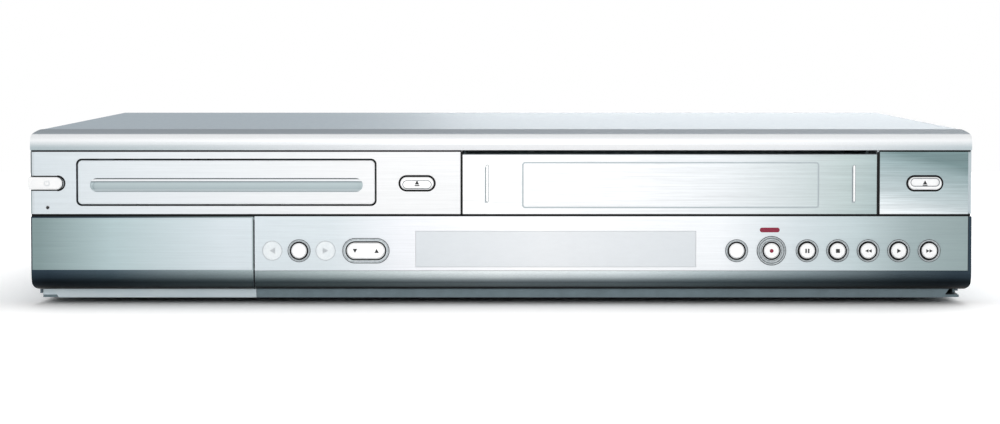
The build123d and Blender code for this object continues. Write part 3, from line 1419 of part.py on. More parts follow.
capstan_x = flap_x + capstan_offset
pinch_closed = (capstan_x + capstan_radius + pinch_radius + moving_gap, capstan_depth)
pinch_pivot = (pinch_closed[0], capstan_depth + pinch_arm_length)
pinch_rest = (
    pinch_pivot[0] + pinch_arm_length * sin(radians(pinch_swing)),
    pinch_pivot[1] - pinch_arm_length * cos(radians(pinch_swing)),
)
slot_bottom = cage_pin_z - cage_drop - cage_pin_radius - 0.2
slot_top = cage_pin_z + cage_pin_radius + 0.2
deck_wall_top = cage_top
with BuildPart() as deck_plate:
    with BuildSketch(level(deck_level)):
        with Locations((flap_x, deck_front + deck_length / 2)):
            Rectangle(2 * deck_wall_outer, deck_length)
        with Locations((capstan_x, capstan_depth)):
            Circle(capstan_radius + pin_clearance, mode=Mode.SUBTRACT)
    extrude(amount=deck_wall)
    # side walls with the slots that lead the cage down
    for s in (-1, 1):
        with BuildSketch(side(flap_x + s * (deck_wall_inner + deck_wall / 2) - deck_wall / 2)):
            with Locations((cage_front + cage_length / 2 + 2.0, (deck_top + deck_wall_top) / 2)):
                Rectangle(cage_length, deck_wall_top - deck_top)
            for y in cage_pin_y:
                with Locations((y, (slot_bottom + slot_top) / 2)):
                    Rectangle(2 * cage_pin_radius + 0.2, slot_top - slot_bottom, mode=Mode.SUBTRACT)
        extrude(amount=deck_wall)
    # legs
    with BuildSketch(level(chassis_top)):
        for s in (-1, 1):
            for y in (deck_front + 6.0, deck_front + deck_length - 6.0):
                with Locations((flap_x + s * (deck_wall_outer - 6.0), y)):
                    Rectangle(8.0, 8.0)
        with Locations((flap_x, deck_front + deck_length / 2)):
            Rectangle(8.0, 8.0)
    extrude(amount=deck_level - chassis_top)
    # reel spindles and the pinch arm's post
    with BuildSketch(level(deck_top)):
        with Locations((flap_x - reel_spacing / 2, reel_depth), (flap_x + reel_spacing / 2, reel_depth)):
            Circle(reel_shaft_radius)
    extrude(amount=reel_rise + reel_table + reel_post_height)
    with BuildSketch(level(deck_top)):
        with Locations((flap_x - reel_spacing / 2, reel_depth), (flap_x + reel_spacing / 2, reel_depth)):
            Circle(reel_shaft_radius + 2.0)
    extrude(amount=reel_rise - moving_gap)
    with BuildSketch(level(deck_top)):
        with Locations(pinch_pivot):
            Circle(2.0)
    extrude(amount=pinch_height + 5.0)
    with BuildSketch(level(deck_top)):
        with Locations(pinch_pivot):
            Circle(3.5)
    extrude(amount=3.0 - moving_gap)
save(deck_plate, "deck_plate")

for reel_name, s in (("supply_reel", -1), ("takeup_reel", 1)):
    reel_x = flap_x + s * reel_spacing / 2
    with BuildPart() as reel:
        with BuildSketch(level(deck_top + reel_rise)):
            with Locations((reel_x, reel_depth)):
                Circle(reel_radius)
        extrude(amount=reel_table)
        with BuildSketch(level(deck_top + reel_rise + reel_table)):
            with Locations((reel_x, reel_depth)):
                Circle(reel_post_radius)
                with PolarLocations(reel_post_radius + 0.6, 3):
                    Rectangle(2.4, 1.6)
        extrude(amount=reel_post_height)
        with BuildSketch(level(deck_top + reel_rise)):
            with Locations((reel_x, reel_depth)):
                Circle(reel_shaft_radius + pin_clearance)
        extrude(amount=reel_table + reel_post_height, mode=Mode.SUBTRACT)
    save(reel, reel_name)

# The drum leans over, so its base is cut level where it stands on the deck.
tilt = radians(drum_tilt)
drum_plane = Plane(
    origin=(flap_x, front + drum_depth, deck_top + drum_base_height / 2),
    x_dir=(1, 0, 0),
    z_dir=(0, sin(tilt), cos(tilt)),
)
with BuildPart() as drum_base:
    with BuildSketch(drum_plane):
        Circle(drum_radius)
    extrude(amount=drum_base_height / 2)
    with BuildSketch(drum_plane):
        Circle(drum_radius)
    extrude(amount=-drum_base_height)
    with BuildSketch(drum_plane.offset(drum_base_height / 2)):
        Circle(drum_shaft_radius)
    extrude(amount=drum_split + drum_head_height + 1.0)
    split(bisect_by=Plane.XY.offset(deck_top), keep=Keep.TOP)
save(drum_base, "drum_base")

with BuildPart() as head_drum:
    with BuildSketch(drum_plane.offset(drum_base_height / 2 + drum_split)):
        Circle(drum_radius)
    extrude(amount=drum_head_height)
    with BuildSketch(drum_plane.offset(drum_base_height / 2 + drum_split + drum_head_height)):
        Circle(drum_radius - 5.0)
        Circle(9.0, mode=Mode.SUBTRACT)
    extrude(amount=-3.0, mode=Mode.SUBTRACT)
    with BuildSketch(drum_plane.offset(drum_base_height / 2 + drum_split)):
        Circle(drum_shaft_radius + pin_clearance)
    extrude(amount=drum_head_height, mode=Mode.SUBTRACT)
save(head_drum, "head_drum")

post_spots = [(-62.0, 150.0), (-46.0, 176.0), (46.0, 180.0), (50.0, 152.0), (-78.0, 138.0)]
with BuildPart() as tape_posts:
    with BuildSketch(level(deck_top)):
        with Locations(*[(flap_x + x, y) for x, y in post_spots]):
            Circle(3.0)
    extrude(amount=26.0)
    with BuildSketch(level(deck_top)):
        with Locations(*[(flap_x + x, y) for x, y in post_spots]):
            RegularPolygon(4.0, 6)
    extrude(amount=3.0)
    with BuildSketch(level(deck_top + 24.0)):
        with Locations(*[(flap_x + x, y) for x, y in post_spots]):
            Circle(4.0)
    extrude(amount=2.0)
save(tape_posts, "tape_posts")

with BuildPart() as capstan:
    with BuildSketch(level(deck_level - moving_gap - flywheel_thickness)):
        with Locations((capstan_x, capstan_depth)):
            Circle(flywheel_radius)
    extrude(amount=flywheel_thickness)
    with BuildSketch(level(deck_level - moving_gap)):
        with Locations((capstan_x, capstan_depth)):
            Circle(capstan_radius)
    extrude(amount=deck_wall + moving_gap + capstan_height)
save(capstan, "capstan")

with BuildPart() as pinch_arm:
    with BuildSketch(level(deck_top + 3.0)):
        with Locations(pinch_pivot):
            Circle(3.5)
        with BuildLine():
            Line(pinch_pivot, pinch_rest)
        trace(line_width=5.0)
        with Locations(pinch_rest):
            Circle(2.5)
        with Locations(pinch_pivot):
            Circle(2.0 + pin_clearance, mode=Mode.SUBTRACT)
    extrude(amount=2.0)
    with BuildSketch(level(deck_top + 5.0)):
        with Locations(pinch_rest):
            Circle(pinch_radius)
    extrude(amount=pinch_height)
save(pinch_arm, "pinch_arm")

# ---------------------------------------------------------------------------------------------
# Electronics and rear sockets
# ---------------------------------------------------------------------------------------------
with BuildPart() as display_module:
    with BuildSketch(face(board_depth)):
        with Locations((display_x, display_z)):
            Rectangle(display_width - 3.0, display_height - 2.0)
    extrude(amount=board_depth - frame_back - slip)
save(display_module, "display_module")

board_level = chassis_top + standoff_height
main_board_middle = main_board_front + main_board_length / 2
chips = [(-52.0, -20.0, 26.0, 26.0), (4.0, -24.0, 18.0, 22.0), (50.0, -16.0, 30.0, 12.0), (-22.0, 14.0, 14.0, 20.0)]
with BuildPart() as main_board:
    with BuildSketch(level(board_level)):
        with Locations((main_board_x, main_board_middle)):
            Rectangle(main_board_width, main_board_length)
    extrude(amount=board_wall)
    with BuildSketch(level(board_level + board_wall)):
        for x, y, width, length in chips:
            with Locations((main_board_x + x, main_board_middle + y)):
                Rectangle(width, length)
    extrude(amount=2.4)
save(main_board, "main_board")

power_board_middle = power_board_front + power_board_length / 2
capacitors = [(-41.0, -14.0, 11.0), (-13.0, -18.0, 8.0), (45.0, -30.0, 6.5), (45.0, -15.0, 6.5)]
with BuildPart() as power_board:
    with BuildSketch(level(board_level)):
        with Locations((power_board_x, power_board_middle)):
            Rectangle(power_board_width, power_board_length)
    extrude(amount=board_wall)
    for x, y, radius in capacitors:
        with BuildSketch(level(board_level + board_wall)):
            with Locations((power_board_x + x, power_board_middle + y)):
                Circle(radius)
        extrude(amount=2.6 * radius)
    # heat sink
    with BuildSketch(level(board_level + board_wall)):
        with Locations((power_board_x + 17.0, power_board_middle + 24.0)):
            Rectangle(46.0, 2.5)
            with Locations((0, 7.0)):
                with GridLocations(6.0, 0, 8, 1):
                    Rectangle(1.8, 12.0)
    extrude(amount=30.0)
save(power_board, "power_board")

transformer_x = power_board_x - 31.0
transformer_y = power_board_middle + 24.0
with BuildPart() as transformer:
    with BuildSketch(level(board_level + board_wall)):
        with Locations((transformer_x, transformer_y)):
            Rectangle(34.0, 30.0)
    extrude(amount=4.0)
    with BuildSketch(level(board_level + board_wall + 4.0)):
        with Locations((transformer_x, transformer_y)):
            Rectangle(30.0, 14.0)
    extrude(amount=24.0)
    with BuildSketch(level(board_level + board_wall + 4.0)):
        with Locations((transformer_x, transformer_y)):
            Circle(13.0)
    extrude(amount=20.0)
save(transformer, "transformer")

scart_spots = [(scart_first_x, scart_z), (scart_first_x + scart_pitch, scart_z)]
with BuildPart() as scart_sockets:
    with BuildSketch(face(body_depth + 1.2)):
        with Locations(*scart_spots):
            Rectangle(scart_width, scart_height)
    extrude(amount=14.0)
    with BuildSketch(face(body_depth + 1.2)):
        with Locations(*scart_spots):
            Rectangle(scart_width - 3.0, scart_height - 3.0)
            Rectangle(scart_width - 9.0, scart_height - 8.6, mode=Mode.SUBTRACT)
    extrude(amount=8.0, mode=Mode.SUBTRACT)
    # feet on the board below
    with BuildSketch(level(board_level + board_wall)):
        for x, z in scart_spots:
            with Locations((x, body_depth - 8.8)):
                Rectangle(scart_width, 8.0)
    extrude(amount=scart_z - scart_height / 2 - board_level - board_wall)
save(scart_sockets, "scart_sockets")

rear_jack_reach = 8.0
with BuildPart() as rear_jacks:
    with BuildSketch(face(rear_inner)):
        with Locations((rear_jack_x, rear_jack_z)):
            Rectangle(3 * jack_pitch, 2 * jack_pitch)
    extrude(amount=10.0)
    with BuildSketch(face(body_depth + rear_jack_reach)):
        with Locations((rear_jack_x, rear_jack_z)):
            with GridLocations(jack_pitch, jack_pitch, 3, 2):
                Circle(jack_radius)
    extrude(amount=rear_jack_reach + sheet)
    with BuildSketch(face(body_depth + rear_jack_reach)):
        with Locations((rear_jack_x, rear_jack_z)):
            with GridLocations(jack_pitch, jack_pitch, 3, 2):
                Circle(jack_bore)
    extrude(amount=7.0, mode=Mode.SUBTRACT)
    with BuildSketch(level(board_level + board_wall)):
        with Locations((rear_jack_x, rear_inner - 5.0)):
            Rectangle(3 * jack_pitch, 8.0)
    extrude(amount=rear_jack_z - jack_pitch - board_level - board_wall)
save(rear_jacks, "rear_jacks")

with BuildPart() as aerial_sockets:
    with BuildSketch(face(rear_inner)):
        with Locations((aerial_x, (board_level + board_wall + aerial_z + aerial_pitch) / 2)):
            Rectangle(26.0, aerial_z + aerial_pitch - board_level - board_wall)
    extrude(amount=46.0)
    with BuildSketch(face(body_depth + barrel_proud)):
        with Locations((aerial_x, aerial_z + aerial_pitch / 2), (aerial_x, aerial_z - aerial_pitch / 2)):
            Circle(aerial_radius)
    extrude(amount=barrel_proud + sheet)
    with BuildSketch(face(body_depth + barrel_proud)):
        with Locations((aerial_x, aerial_z + aerial_pitch / 2), (aerial_x, aerial_z - aerial_pitch / 2)):
            Circle(aerial_radius - 1.0)
            Circle(1.4, mode=Mode.SUBTRACT)
    extrude(amount=8.0, mode=Mode.SUBTRACT)
save(aerial_sockets, "aerial_sockets")

with BuildPart() as mains_inlet:
    with BuildSketch(face(body_depth + 0.8)):
        with Locations((inlet_x, inlet_z)):
            SlotOverall(inlet_width + 3.0, inlet_height + 3.0)
    extrude(amount=inlet_depth + 2.8)
    with BuildSketch(face(body_depth + 0.8)):
        with Locations((inlet_x, inlet_z)):
            SlotOverall(inlet_width, inlet_height)
    extrude(amount=inlet_depth, mode=Mode.SUBTRACT)
    with BuildSketch(face(body_depth - 0.8)):
        with Locations((inlet_x, inlet_z)):
            with GridLocations(inlet_pin_spacing, 0, 2, 1):
                Circle(inlet_pin_radius)
    extrude(amount=inlet_depth - 1.6)
    # block that stands on the power board
    with BuildSketch(face(body_depth - inlet_depth - 2.0)):
        with Locations((inlet_x, (board_level + inlet_z + inlet_height / 2 + 1.5) / 2)):
            Rectangle(inlet_width + 3.0, inlet_z + inlet_height / 2 + 1.5 - board_level)
    extrude(amount=-2.0)
save(mains_inlet, "mains_inlet")

with BuildPart() as fan_housing:
    with BuildSketch(face(rear_inner)):
        with Locations((fan_x, fan_z)):
            RectangleRounded(fan_size, fan_size, 2.0)
            Circle(fan_bore, mode=Mode.SUBTRACT)
    extrude(amount=fan_depth)
    with BuildSketch(face(rear_inner - fan_depth + 1.5)):
        with Locations((fan_x, fan_z)):
            Circle(rotor_hub)
            for i in range(3):
                with Locations(Location((0, 0, 0), (0, 0, 120.0 * i + 30.0))):
                    with Locations((fan_bore / 2 + 0.3, 0)):
                        Rectangle(fan_bore + 0.6, 2.0)
    extrude(amount=1.5)
    with BuildSketch(face(rear_inner - 1.0)):
        with Locations((fan_x, fan_z)):
            Circle(1.5)
    extrude(amount=fan_depth - 2.5)
save(fan_housing, "fan_housing")

blade_sweep = 34.0
with BuildPart() as fan_rotor:
    with BuildSketch(face(rear_inner - 1.0)):
        with Locations((fan_x, fan_z)):
            Circle(rotor_hub - 0.5)
            for i in range(fan_blades):
                with Locations(Location((0, 0, 0), (0, 0, 360.0 * i / fan_blades))):
                    with Locations((fan_bore / 2 - 0.3 - rotor_gap / 2, 0)):
                        Rectangle(fan_bore - 0.6 - rotor_gap, 2.2)
            Circle(1.5 + pin_clearance, mode=Mode.SUBTRACT)
    extrude(amount=fan_depth - 3.0)
save(fan_rotor, "fan_rotor")
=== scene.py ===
"""Looks for a full-width silver disc and cassette player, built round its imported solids.

Metres, in the solids' own frame: X to the right, Y to the back, Z up, feet on Z = 0, the fascia
facing -Y. Outlines of flat shapes and sizes of rims are given in millimetres, and become metres
where the mesh is made.
"""

import json
from math import cos, pi, radians, sin, tan

import bmesh
import bpy
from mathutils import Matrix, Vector


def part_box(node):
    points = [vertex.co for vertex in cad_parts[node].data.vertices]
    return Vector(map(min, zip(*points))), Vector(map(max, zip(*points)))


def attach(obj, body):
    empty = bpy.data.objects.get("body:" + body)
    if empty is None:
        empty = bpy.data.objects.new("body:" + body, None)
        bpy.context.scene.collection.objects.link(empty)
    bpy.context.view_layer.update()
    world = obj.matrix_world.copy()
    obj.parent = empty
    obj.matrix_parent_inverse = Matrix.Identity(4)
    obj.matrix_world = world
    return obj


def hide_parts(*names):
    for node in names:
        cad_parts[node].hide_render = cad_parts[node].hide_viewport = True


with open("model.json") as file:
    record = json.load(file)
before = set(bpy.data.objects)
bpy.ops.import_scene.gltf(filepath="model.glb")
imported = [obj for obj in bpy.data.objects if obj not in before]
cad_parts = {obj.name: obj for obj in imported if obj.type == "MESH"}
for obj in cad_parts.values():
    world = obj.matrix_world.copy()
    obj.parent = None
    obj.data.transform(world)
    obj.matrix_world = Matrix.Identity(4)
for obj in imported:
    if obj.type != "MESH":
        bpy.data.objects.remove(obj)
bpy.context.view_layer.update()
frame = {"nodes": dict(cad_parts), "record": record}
nodes = frame["nodes"]
scene = bpy.context.scene
MM = 0.001
fascia_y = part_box("lower_panel")[0].y


def middle(name):
    """The middle of a node's box."""
    low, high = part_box(name)
    return (low + high) / 2


def face_of(node):
    """The foremost plane of a node."""
    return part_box(node)[0].y


# ---------------------------------------------------------------------------------------------
# Small helpers
# ---------------------------------------------------------------------------------------------
def shade(code):
    """An sRGB hex colour as linear red, green, blue and a full alpha."""
    values = [int(code[i : i + 2], 16) / 255 for i in (1, 3, 5)]
    linear = [v / 12.92 if v <= 0.04045 else ((v + 0.055) / 1.055) ** 2.4 for v in values]
    return (*linear, 1.0)


def add(tree, kind, settings=None, values=None, links=None):
    """Adds a node to a tree: its attributes, the values of its inputs, and the links into them."""
    made = tree.nodes.new(kind)
    for key, value in (settings or {}).items():
        setattr(made, key, value)
    for key, value in (values or {}).items():
        made.inputs[key].default_value = value
    for key, source in (links or {}).items():
        tree.links.new(source, made.inputs[key])
    return made


def new_material(name, **values):
    """A material with one Principled shader. Returns the material, its tree and its shader."""
    material = bpy.data.materials.new(name)
    material.use_nodes = True
    tree = material.node_tree
    shader = tree.nodes["Principled BSDF"]
    for key, value in values.items():
        shader.inputs[key.replace("_", " ")].default_value = value
    return material, tree, shader


def ramp(tree, source, stops):
    """A colour ramp with its stops given as (position, hex colour)."""
    made = add(tree, "ShaderNodeValToRGB", links={"Fac": source})
    band = made.color_ramp
    while len(band.elements) < len(stops):
        band.elements.new(0.5)
    for element, (place, code) in zip(band.elements, stops):
        element.position = place
        element.color = shade(code)
    return made


def stretched_noise(tree, pitch, detail=3.0, roughness=0.6):
    """Noise in object coordinates with its cell size along X, Y and Z given in millimetres."""
    place = add(tree, "ShaderNodeTexCoord")
    scale = [1.0 / (p * MM) for p in pitch]
    mapped = add(
        tree,
        "ShaderNodeMapping",
        values={"Scale": scale},
        links={"Vector": place.outputs["Object"]},
    )
    return add(
        tree,
        "ShaderNodeTexNoise",
        values={"Scale": 1.0, "Detail": detail, "Roughness": roughness},
        links={"Vector": mapped.outputs["Vector"]},
    )


def relief(tree, shader, height, strength, distance):
    """Links a height to the shader's normal through a bump with its distance in millimetres."""
    made = add(
        tree,
        "ShaderNodeBump",
        values={"Strength": strength, "Distance": distance * MM},
        links={"Height": height},
    )
    tree.links.new(made.outputs["Normal"], shader.inputs["Normal"])


def dress(node, material):
    """Gives a CAD node its finish."""
    for slot in nodes[node].material_slots:
        slot.material = material


# ---------------------------------------------------------------------------------------------
# Materials
# ---------------------------------------------------------------------------------------------
def run_along(tree, across, up, start):
    """A value that grows by across for each metre of X and by up for each metre of Z, and is
    start at the origin."""
    place = add(tree, "ShaderNodeTexCoord")
    along = add(
        tree,
        "ShaderNodeVectorMath",
        {"operation": "DOT_PRODUCT"},
        {1: (across, 0.0, up)},
        {0: place.outputs["Object"]},
    )
    return add(
        tree, "ShaderNodeMath", {"operation": "ADD"}, {1: start}, {0: along.outputs["Value"]}
    )


def tinted(tree, base, pattern, depth):
    """Darkens a colour a little where a pattern is low."""
    level = add(
        tree,
        "ShaderNodeMapRange",
        values={"From Min": 0.3, "From Max": 0.7, "To Min": 1.0 - depth, "To Max": 1.0},
        links={"Value": pattern},
    )
    return add(
        tree,
        "ShaderNodeVectorMath",
        {"operation": "SCALE"},
        links={0: base, "Scale": level.outputs["Result"]},
    )


def along_fascia(stops):
    """Stops given by X in millimetres, turned to places on a run along the whole fascia."""
    return [((x + FASCIA_SPAN / 2) / FASCIA_SPAN, code) for x, code in stops]


def up_from(tree, bottom, top):
    """A value from 0 at one height to 1 at another, both in millimetres."""
    tall = top - bottom
    return run_along(tree, 0.0, 1 / (tall * MM), -bottom / tall).outputs["Value"]


def two_shades(tree, shader, pattern, low, high, start=0.3, end=0.7):
    """Colours a finish with two close shades, mixed by a pattern between two of its levels."""
    tint = ramp(tree, pattern.outputs["Fac"], [(start, low), (end, high)])
    tree.links.new(tint.outputs["Color"], shader.inputs["Base Color"])


# Runs for run_along: one from end to end of the fascia, 436 mm long, along which painted
# reflections change, and a steep one over the upper right panel that starts at X 176 mm and Z 34
# mm, along which painted shade darkens it toward the top and the right.
FASCIA_SPAN = 436.0
WHOLE = (1 / (FASCIA_SPAN * MM), 0.0, 0.5)
ACROSS, UP = 6.0, 26.0
UPPER_RIGHT = (ACROSS, UP, -0.176 * ACROSS - 0.034 * UP)


def groove_colours(tree, finish, starts, full, heights, stops):
    """Lays a groove's own colours over a finish. They start at one depth behind the fascia and are
    full at another, in millimetres, and run up between two heights. In the tray's groove they are
    painted shade and a painted highlight."""
    place = add(tree, "ShaderNodeTexCoord")
    axes = add(tree, "ShaderNodeSeparateXYZ", links={"Vector": place.outputs["Object"]})
    # How far a point lies inside the groove, where the groove's colours take over from the finish.
    bare = add(
        tree,
        "ShaderNodeMapRange",
        values={"From Min": fascia_y + starts * MM, "From Max": fascia_y + full * MM},
        links={"Value": axes.outputs["Y"]},
    )
    height = add(
        tree,
        "ShaderNodeMapRange",
        values={"From Min": heights[0] * MM, "From Max": heights[1] * MM},
        links={"Value": axes.outputs["Z"]},
    )
    wall = ramp(tree, height.outputs["Result"], stops)
    return add(
        tree,
        "ShaderNodeMix",
        {"data_type": "RGBA"},
        links={"Factor": bare.outputs["Result"], "A": finish, "B": wall.outputs["Color"]},
    ).outputs["Result"]


def brushed_film(panel, run, stops, metallic, lines=0.10, groove=None):
    """Metallised film on moulded ABS, brushed along the width. The hairlines are about 0.1 mm apart
    on the real film and drawn 0.7 mm apart, so that they show. Along a run its colour goes from
    grey-green to pale silver, painted reflection and shade, and the lines darken it by their share."""
    material, tree, shader = new_material(
        "brushed metallised film, " + panel, Metallic=metallic, Roughness=0.32
    )
    shader.inputs["Anisotropic"].default_value = 0.5
    # Painted light: the colour along the run stands in for reflection and shade.
    painted_light = ramp(tree, run_along(tree, *run).outputs["Value"], stops)
    long_lines = stretched_noise(tree, (46.0, 3.0, 0.7), detail=2.0)
    short_lines = stretched_noise(tree, (9.0, 3.0, 0.45), detail=1.0)
    both = add(
        tree,
        "ShaderNodeMath",
        {"operation": "MULTIPLY_ADD"},
        {1: 0.35},
        {0: short_lines.outputs["Fac"], 2: long_lines.outputs["Fac"]},
    )
    darkest, brightest = 1.0 - lines, 1.0 + lines * 0.4
    level = add(
        tree,
        "ShaderNodeMapRange",
        values={"From Min": 0.42, "From Max": 0.92, "To Min": darkest, "To Max": brightest},
        links={"Value": both.outputs["Value"]},
    )
    colour = add(
        tree,
        "ShaderNodeVectorMath",
        {"operation": "SCALE"},
        links={0: painted_light.outputs["Color"], "Scale": level.outputs["Result"]},
    )
    finish = colour.outputs["Vector"]
    if groove:
        finish = groove_colours(tree, finish, *groove)
    tree.links.new(finish, shader.inputs["Base Color"])
    relief(tree, shader, both.outputs["Value"], 0.04, 0.15)
    return material


def satin_silver_paint():
    """Silver flake paint on the moulded top bar, with a fine sparkle. Its colours are painted
    light: a painted highlight over the upper half of the face, painted shade in a dark blue-grey on
    the slope that meets the cover, and a painted reflection that greys the lower half toward the
    ends."""
    material, tree, shader = new_material(
        "satin silver flake paint on ABS", Metallic=0.35, Roughness=0.36
    )
    # Painted reflection: greyer toward both ends.
    painted_reflection_along = ramp(
        tree,
        run_along(tree, *WHOLE).outputs["Value"],
        along_fascia(
            [
                (-214, "#b7c5ca"),
                (-150, "#cbd5d9"),
                (-46, "#f3f5f8"),
                (60, "#f8f9fa"),
                (140, "#eff2f5"),
                (214, "#c3cfd4"),
            ]
        ),
    )
    height = up_from(tree, 71.5, 81.1)
    face = ramp(
        tree, height, [(0.0, "#000000"), (0.15, "#303030"), (0.5, "#ffffff"), (1.0, "#ffffff")]
    )
    # Painted highlight on the upper face, and painted shade on the slope that meets the cover.
    bright = ramp(
        tree, height, [(0.0, "#f5f7f8"), (0.76, "#f1f3f5"), (0.80, "#52616c"), (1.0, "#4b5a65")]
    )
    bar_colour = add(
        tree,
        "ShaderNodeMix",
        {"data_type": "RGBA"},
        links={
            "Factor": face.outputs["Color"],
            "A": painted_reflection_along.outputs["Color"],
            "B": bright.outputs["Color"],
        },
    )
    flakes = stretched_noise(tree, (0.5, 0.5, 0.5), detail=2.0)
    colour = tinted(tree, bar_colour.outputs["Result"], flakes.outputs["Fac"], 0.04)
    tree.links.new(colour.outputs["Vector"], shader.inputs["Base Color"])
    relief(tree, shader, flakes.outputs["Fac"], 0.03, 0.05)
    return material


def lacquer_with_painted_light():
    """Dark metallic lacquer over ABS under a clear coat, with painted light: a painted reflection
    makes it pale in the middle of the band and dark toward both ends, and painted shade darkens it
    toward the underside, with a darker crease across the lower half."""
    material, tree, shader = new_material(
        "dark metallic lacquer on ABS with painted light",
        Metallic=0.9,
        Roughness=0.3,
        Coat_Weight=0.03,
        Coat_Roughness=0.15,
    )
    # Painted reflection: pale in the middle of the band, dark toward both ends.
    along = ramp(
        tree,
        run_along(tree, *WHOLE).outputs["Value"],
        along_fascia(
            [
                (-210, "#2b3944"),
                (-180, "#47565f"),
                (-127, "#8c999c"),
                (-78, "#b7c3c4"),
                (-37, "#dde5e6"),
                (0, "#eef4f5"),
                (55, "#e0e8ea"),
                (95, "#b9c5c8"),
                (138, "#8a979c"),
                (184, "#4b585f"),
                (210, "#2f3c46"),
            ]
        ),
    )
    # Painted shade: darker toward the underside, with a darker crease.
    under = ramp(
        tree,
        up_from(tree, 6.6, 16.0),
        [
            (0.0, "#000004"),
            (0.13, "#0c0f14"),
            (0.19, "#8b9498"),
            (0.30, "#8a9397"),
            (0.40, "#767e83"),
            (0.52, "#a6adb0"),
            (0.66, "#e8ebec"),
            (1.0, "#ffffff"),
        ],
    )
    flakes = stretched_noise(tree, (1.0, 1.0, 0.5), detail=2.0)
    both = add(
        tree,
        "ShaderNodeVectorMath",
        {"operation": "MULTIPLY"},
        links={0: along.outputs["Color"], 1: under.outputs["Color"]},
    )
    colour = tinted(tree, both.outputs["Vector"], flakes.outputs["Fac"], 0.08)
    tree.links.new(colour.outputs["Vector"], shader.inputs["Base Color"])
    return material


def coated_steel():
    """Pre-coated steel sheet: satin blue-grey with the faint orange peel of a roller coat."""
    material, tree, shader = new_material("satin coated steel sheet", Metallic=0.2, Roughness=0.5)
    shader.inputs["Specular IOR Level"].default_value = 0.4
    peel = stretched_noise(tree, (2.4, 2.4, 2.4), detail=2.0)
    two_shades(tree, shader, peel, "#6d7c87", "#76858f", 0.35, 0.65)
    relief(tree, shader, peel.outputs["Fac"], 0.04, 0.1)
    return material


def zinc_plated_steel(part, low, high, pitch):
    """Zinc-plated steel: cool grey with the cloudy spangle of the plating, its pitch in
    millimetres."""
    material, tree, shader = new_material(
        "zinc-plated steel sheet, " + part, Metallic=0.85, Roughness=0.42
    )
    spangle = stretched_noise(tree, (pitch, pitch, pitch), detail=4.0)
    two_shades(tree, shader, spangle, low, high, 0.35, 0.65)
    return material


def silver_abs():
    """Silver-filled ABS of the input bay and its lip: pale blue-grey, satin, faintly streaked."""
    material, tree, shader = new_material("silver-filled moulded ABS", Metallic=0.3, Roughness=0.4)
    flow = stretched_noise(tree, (22.0, 8.0, 5.0), detail=2.0)
    two_shades(tree, shader, flow, "#cfdfe6", "#dbe8ed")
    return material


def key_plastic():
    """Pearl-white moulded ABS keys with a polished face."""
    material, tree, shader = new_material(
        "pearl white moulded ABS",
        Metallic=0.35,
        Roughness=0.25,
        Coat_Weight=0.3,
        Coat_Roughness=0.1,
    )
    cloud = stretched_noise(tree, (3.0, 3.0, 3.0), detail=1.0)
    two_shades(tree, shader, cloud, "#fafbfc", "#ffffff")
    return material


def plated_ring():
    """Dull chrome on the moulded rings: a mid grey with a faint haze."""
    material, tree, shader = new_material("dull chrome plating on ABS", Metallic=1.0, Roughness=0.3)
    haze = stretched_noise(tree, (1.0, 1.0, 1.0), detail=1.0)
    two_shades(tree, shader, haze, "#a3aaad", "#b9bfc2")
    return material


def pale_filter():
    """Frosted pale acrylic over the display: smooth and a little greyer than the panel."""
    material, tree, shader = new_material(
        "frosted pale acrylic", Metallic=0.3, Roughness=0.35, IOR=1.49
    )
    window_span = 130.0
    # Painted reflection: palest near X 20 mm and greyer away from there.
    painted_light = ramp(
        tree,
        run_along(tree, 1 / (window_span * MM), 0.0, 0.3).outputs["Value"],
        [(0.0, "#dce1e5"), (0.45, "#e8ebee"), (1.0, "#dde2e6")],
    )
    frost = stretched_noise(tree, (6.0, 6.0, 2.0), detail=2.0)
    colour = tinted(tree, painted_light.outputs["Color"], frost.outputs["Fac"], 0.02)
    tree.links.new(colour.outputs["Vector"], shader.inputs["Base Color"])
    return material


def lens_acrylic():
    """Frosted acrylic lenses, a shade greyer than the panel round them."""
    material, tree, shader = new_material(
        "frosted white acrylic lens", Metallic=0.4, Roughness=0.35, IOR=1.49
    )
    frost = stretched_noise(tree, (2.0, 2.0, 2.0), detail=1.0)
    two_shades(tree, shader, frost, "#dfe5e8", "#e7ecee")
    return material


def black_abs():
    """Black ABS from a spark-eroded mould: matt, with a grain of about 0.3 mm drawn at 0.8 mm
    so that it shows."""
    material, tree, shader = new_material("black spark-grained ABS", Roughness=0.55, IOR=1.54)
    grain = stretched_noise(tree, (0.8, 0.8, 0.8), detail=2.0)
    two_shades(tree, shader, grain, "#0b0c0e", "#141619")
    relief(tree, shader, grain.outputs["Fac"], 0.15, 0.15)
    return material


def foot_rubber():
    """Moulded black rubber with a dusty bloom."""
    material, tree, shader = new_material("moulded rubber", Roughness=0.8, IOR=1.52)
    bloom = stretched_noise(tree, (5.0, 5.0, 5.0), detail=3.0)
    two_shades(tree, shader, bloom, "#17181a", "#28292b", 0.35, 0.7)
    return material


def circuit_board():
    """Solder-masked glass-fibre board: green lacquer over copper tracks, drawn 2 mm wide."""
    material, tree, shader = new_material(
        "solder-masked glass-fibre board", Roughness=0.35, IOR=1.5
    )
    tracks = stretched_noise(tree, (14.0, 2.0, 14.0), detail=1.0)
    mask, track = "#1d4a2a", "#3d7040"
    tint = ramp(tree, tracks.outputs["Fac"], [(0.46, mask), (0.5, track), (0.54, mask)])
    tree.links.new(tint.outputs["Color"], shader.inputs["Base Color"])
    return material


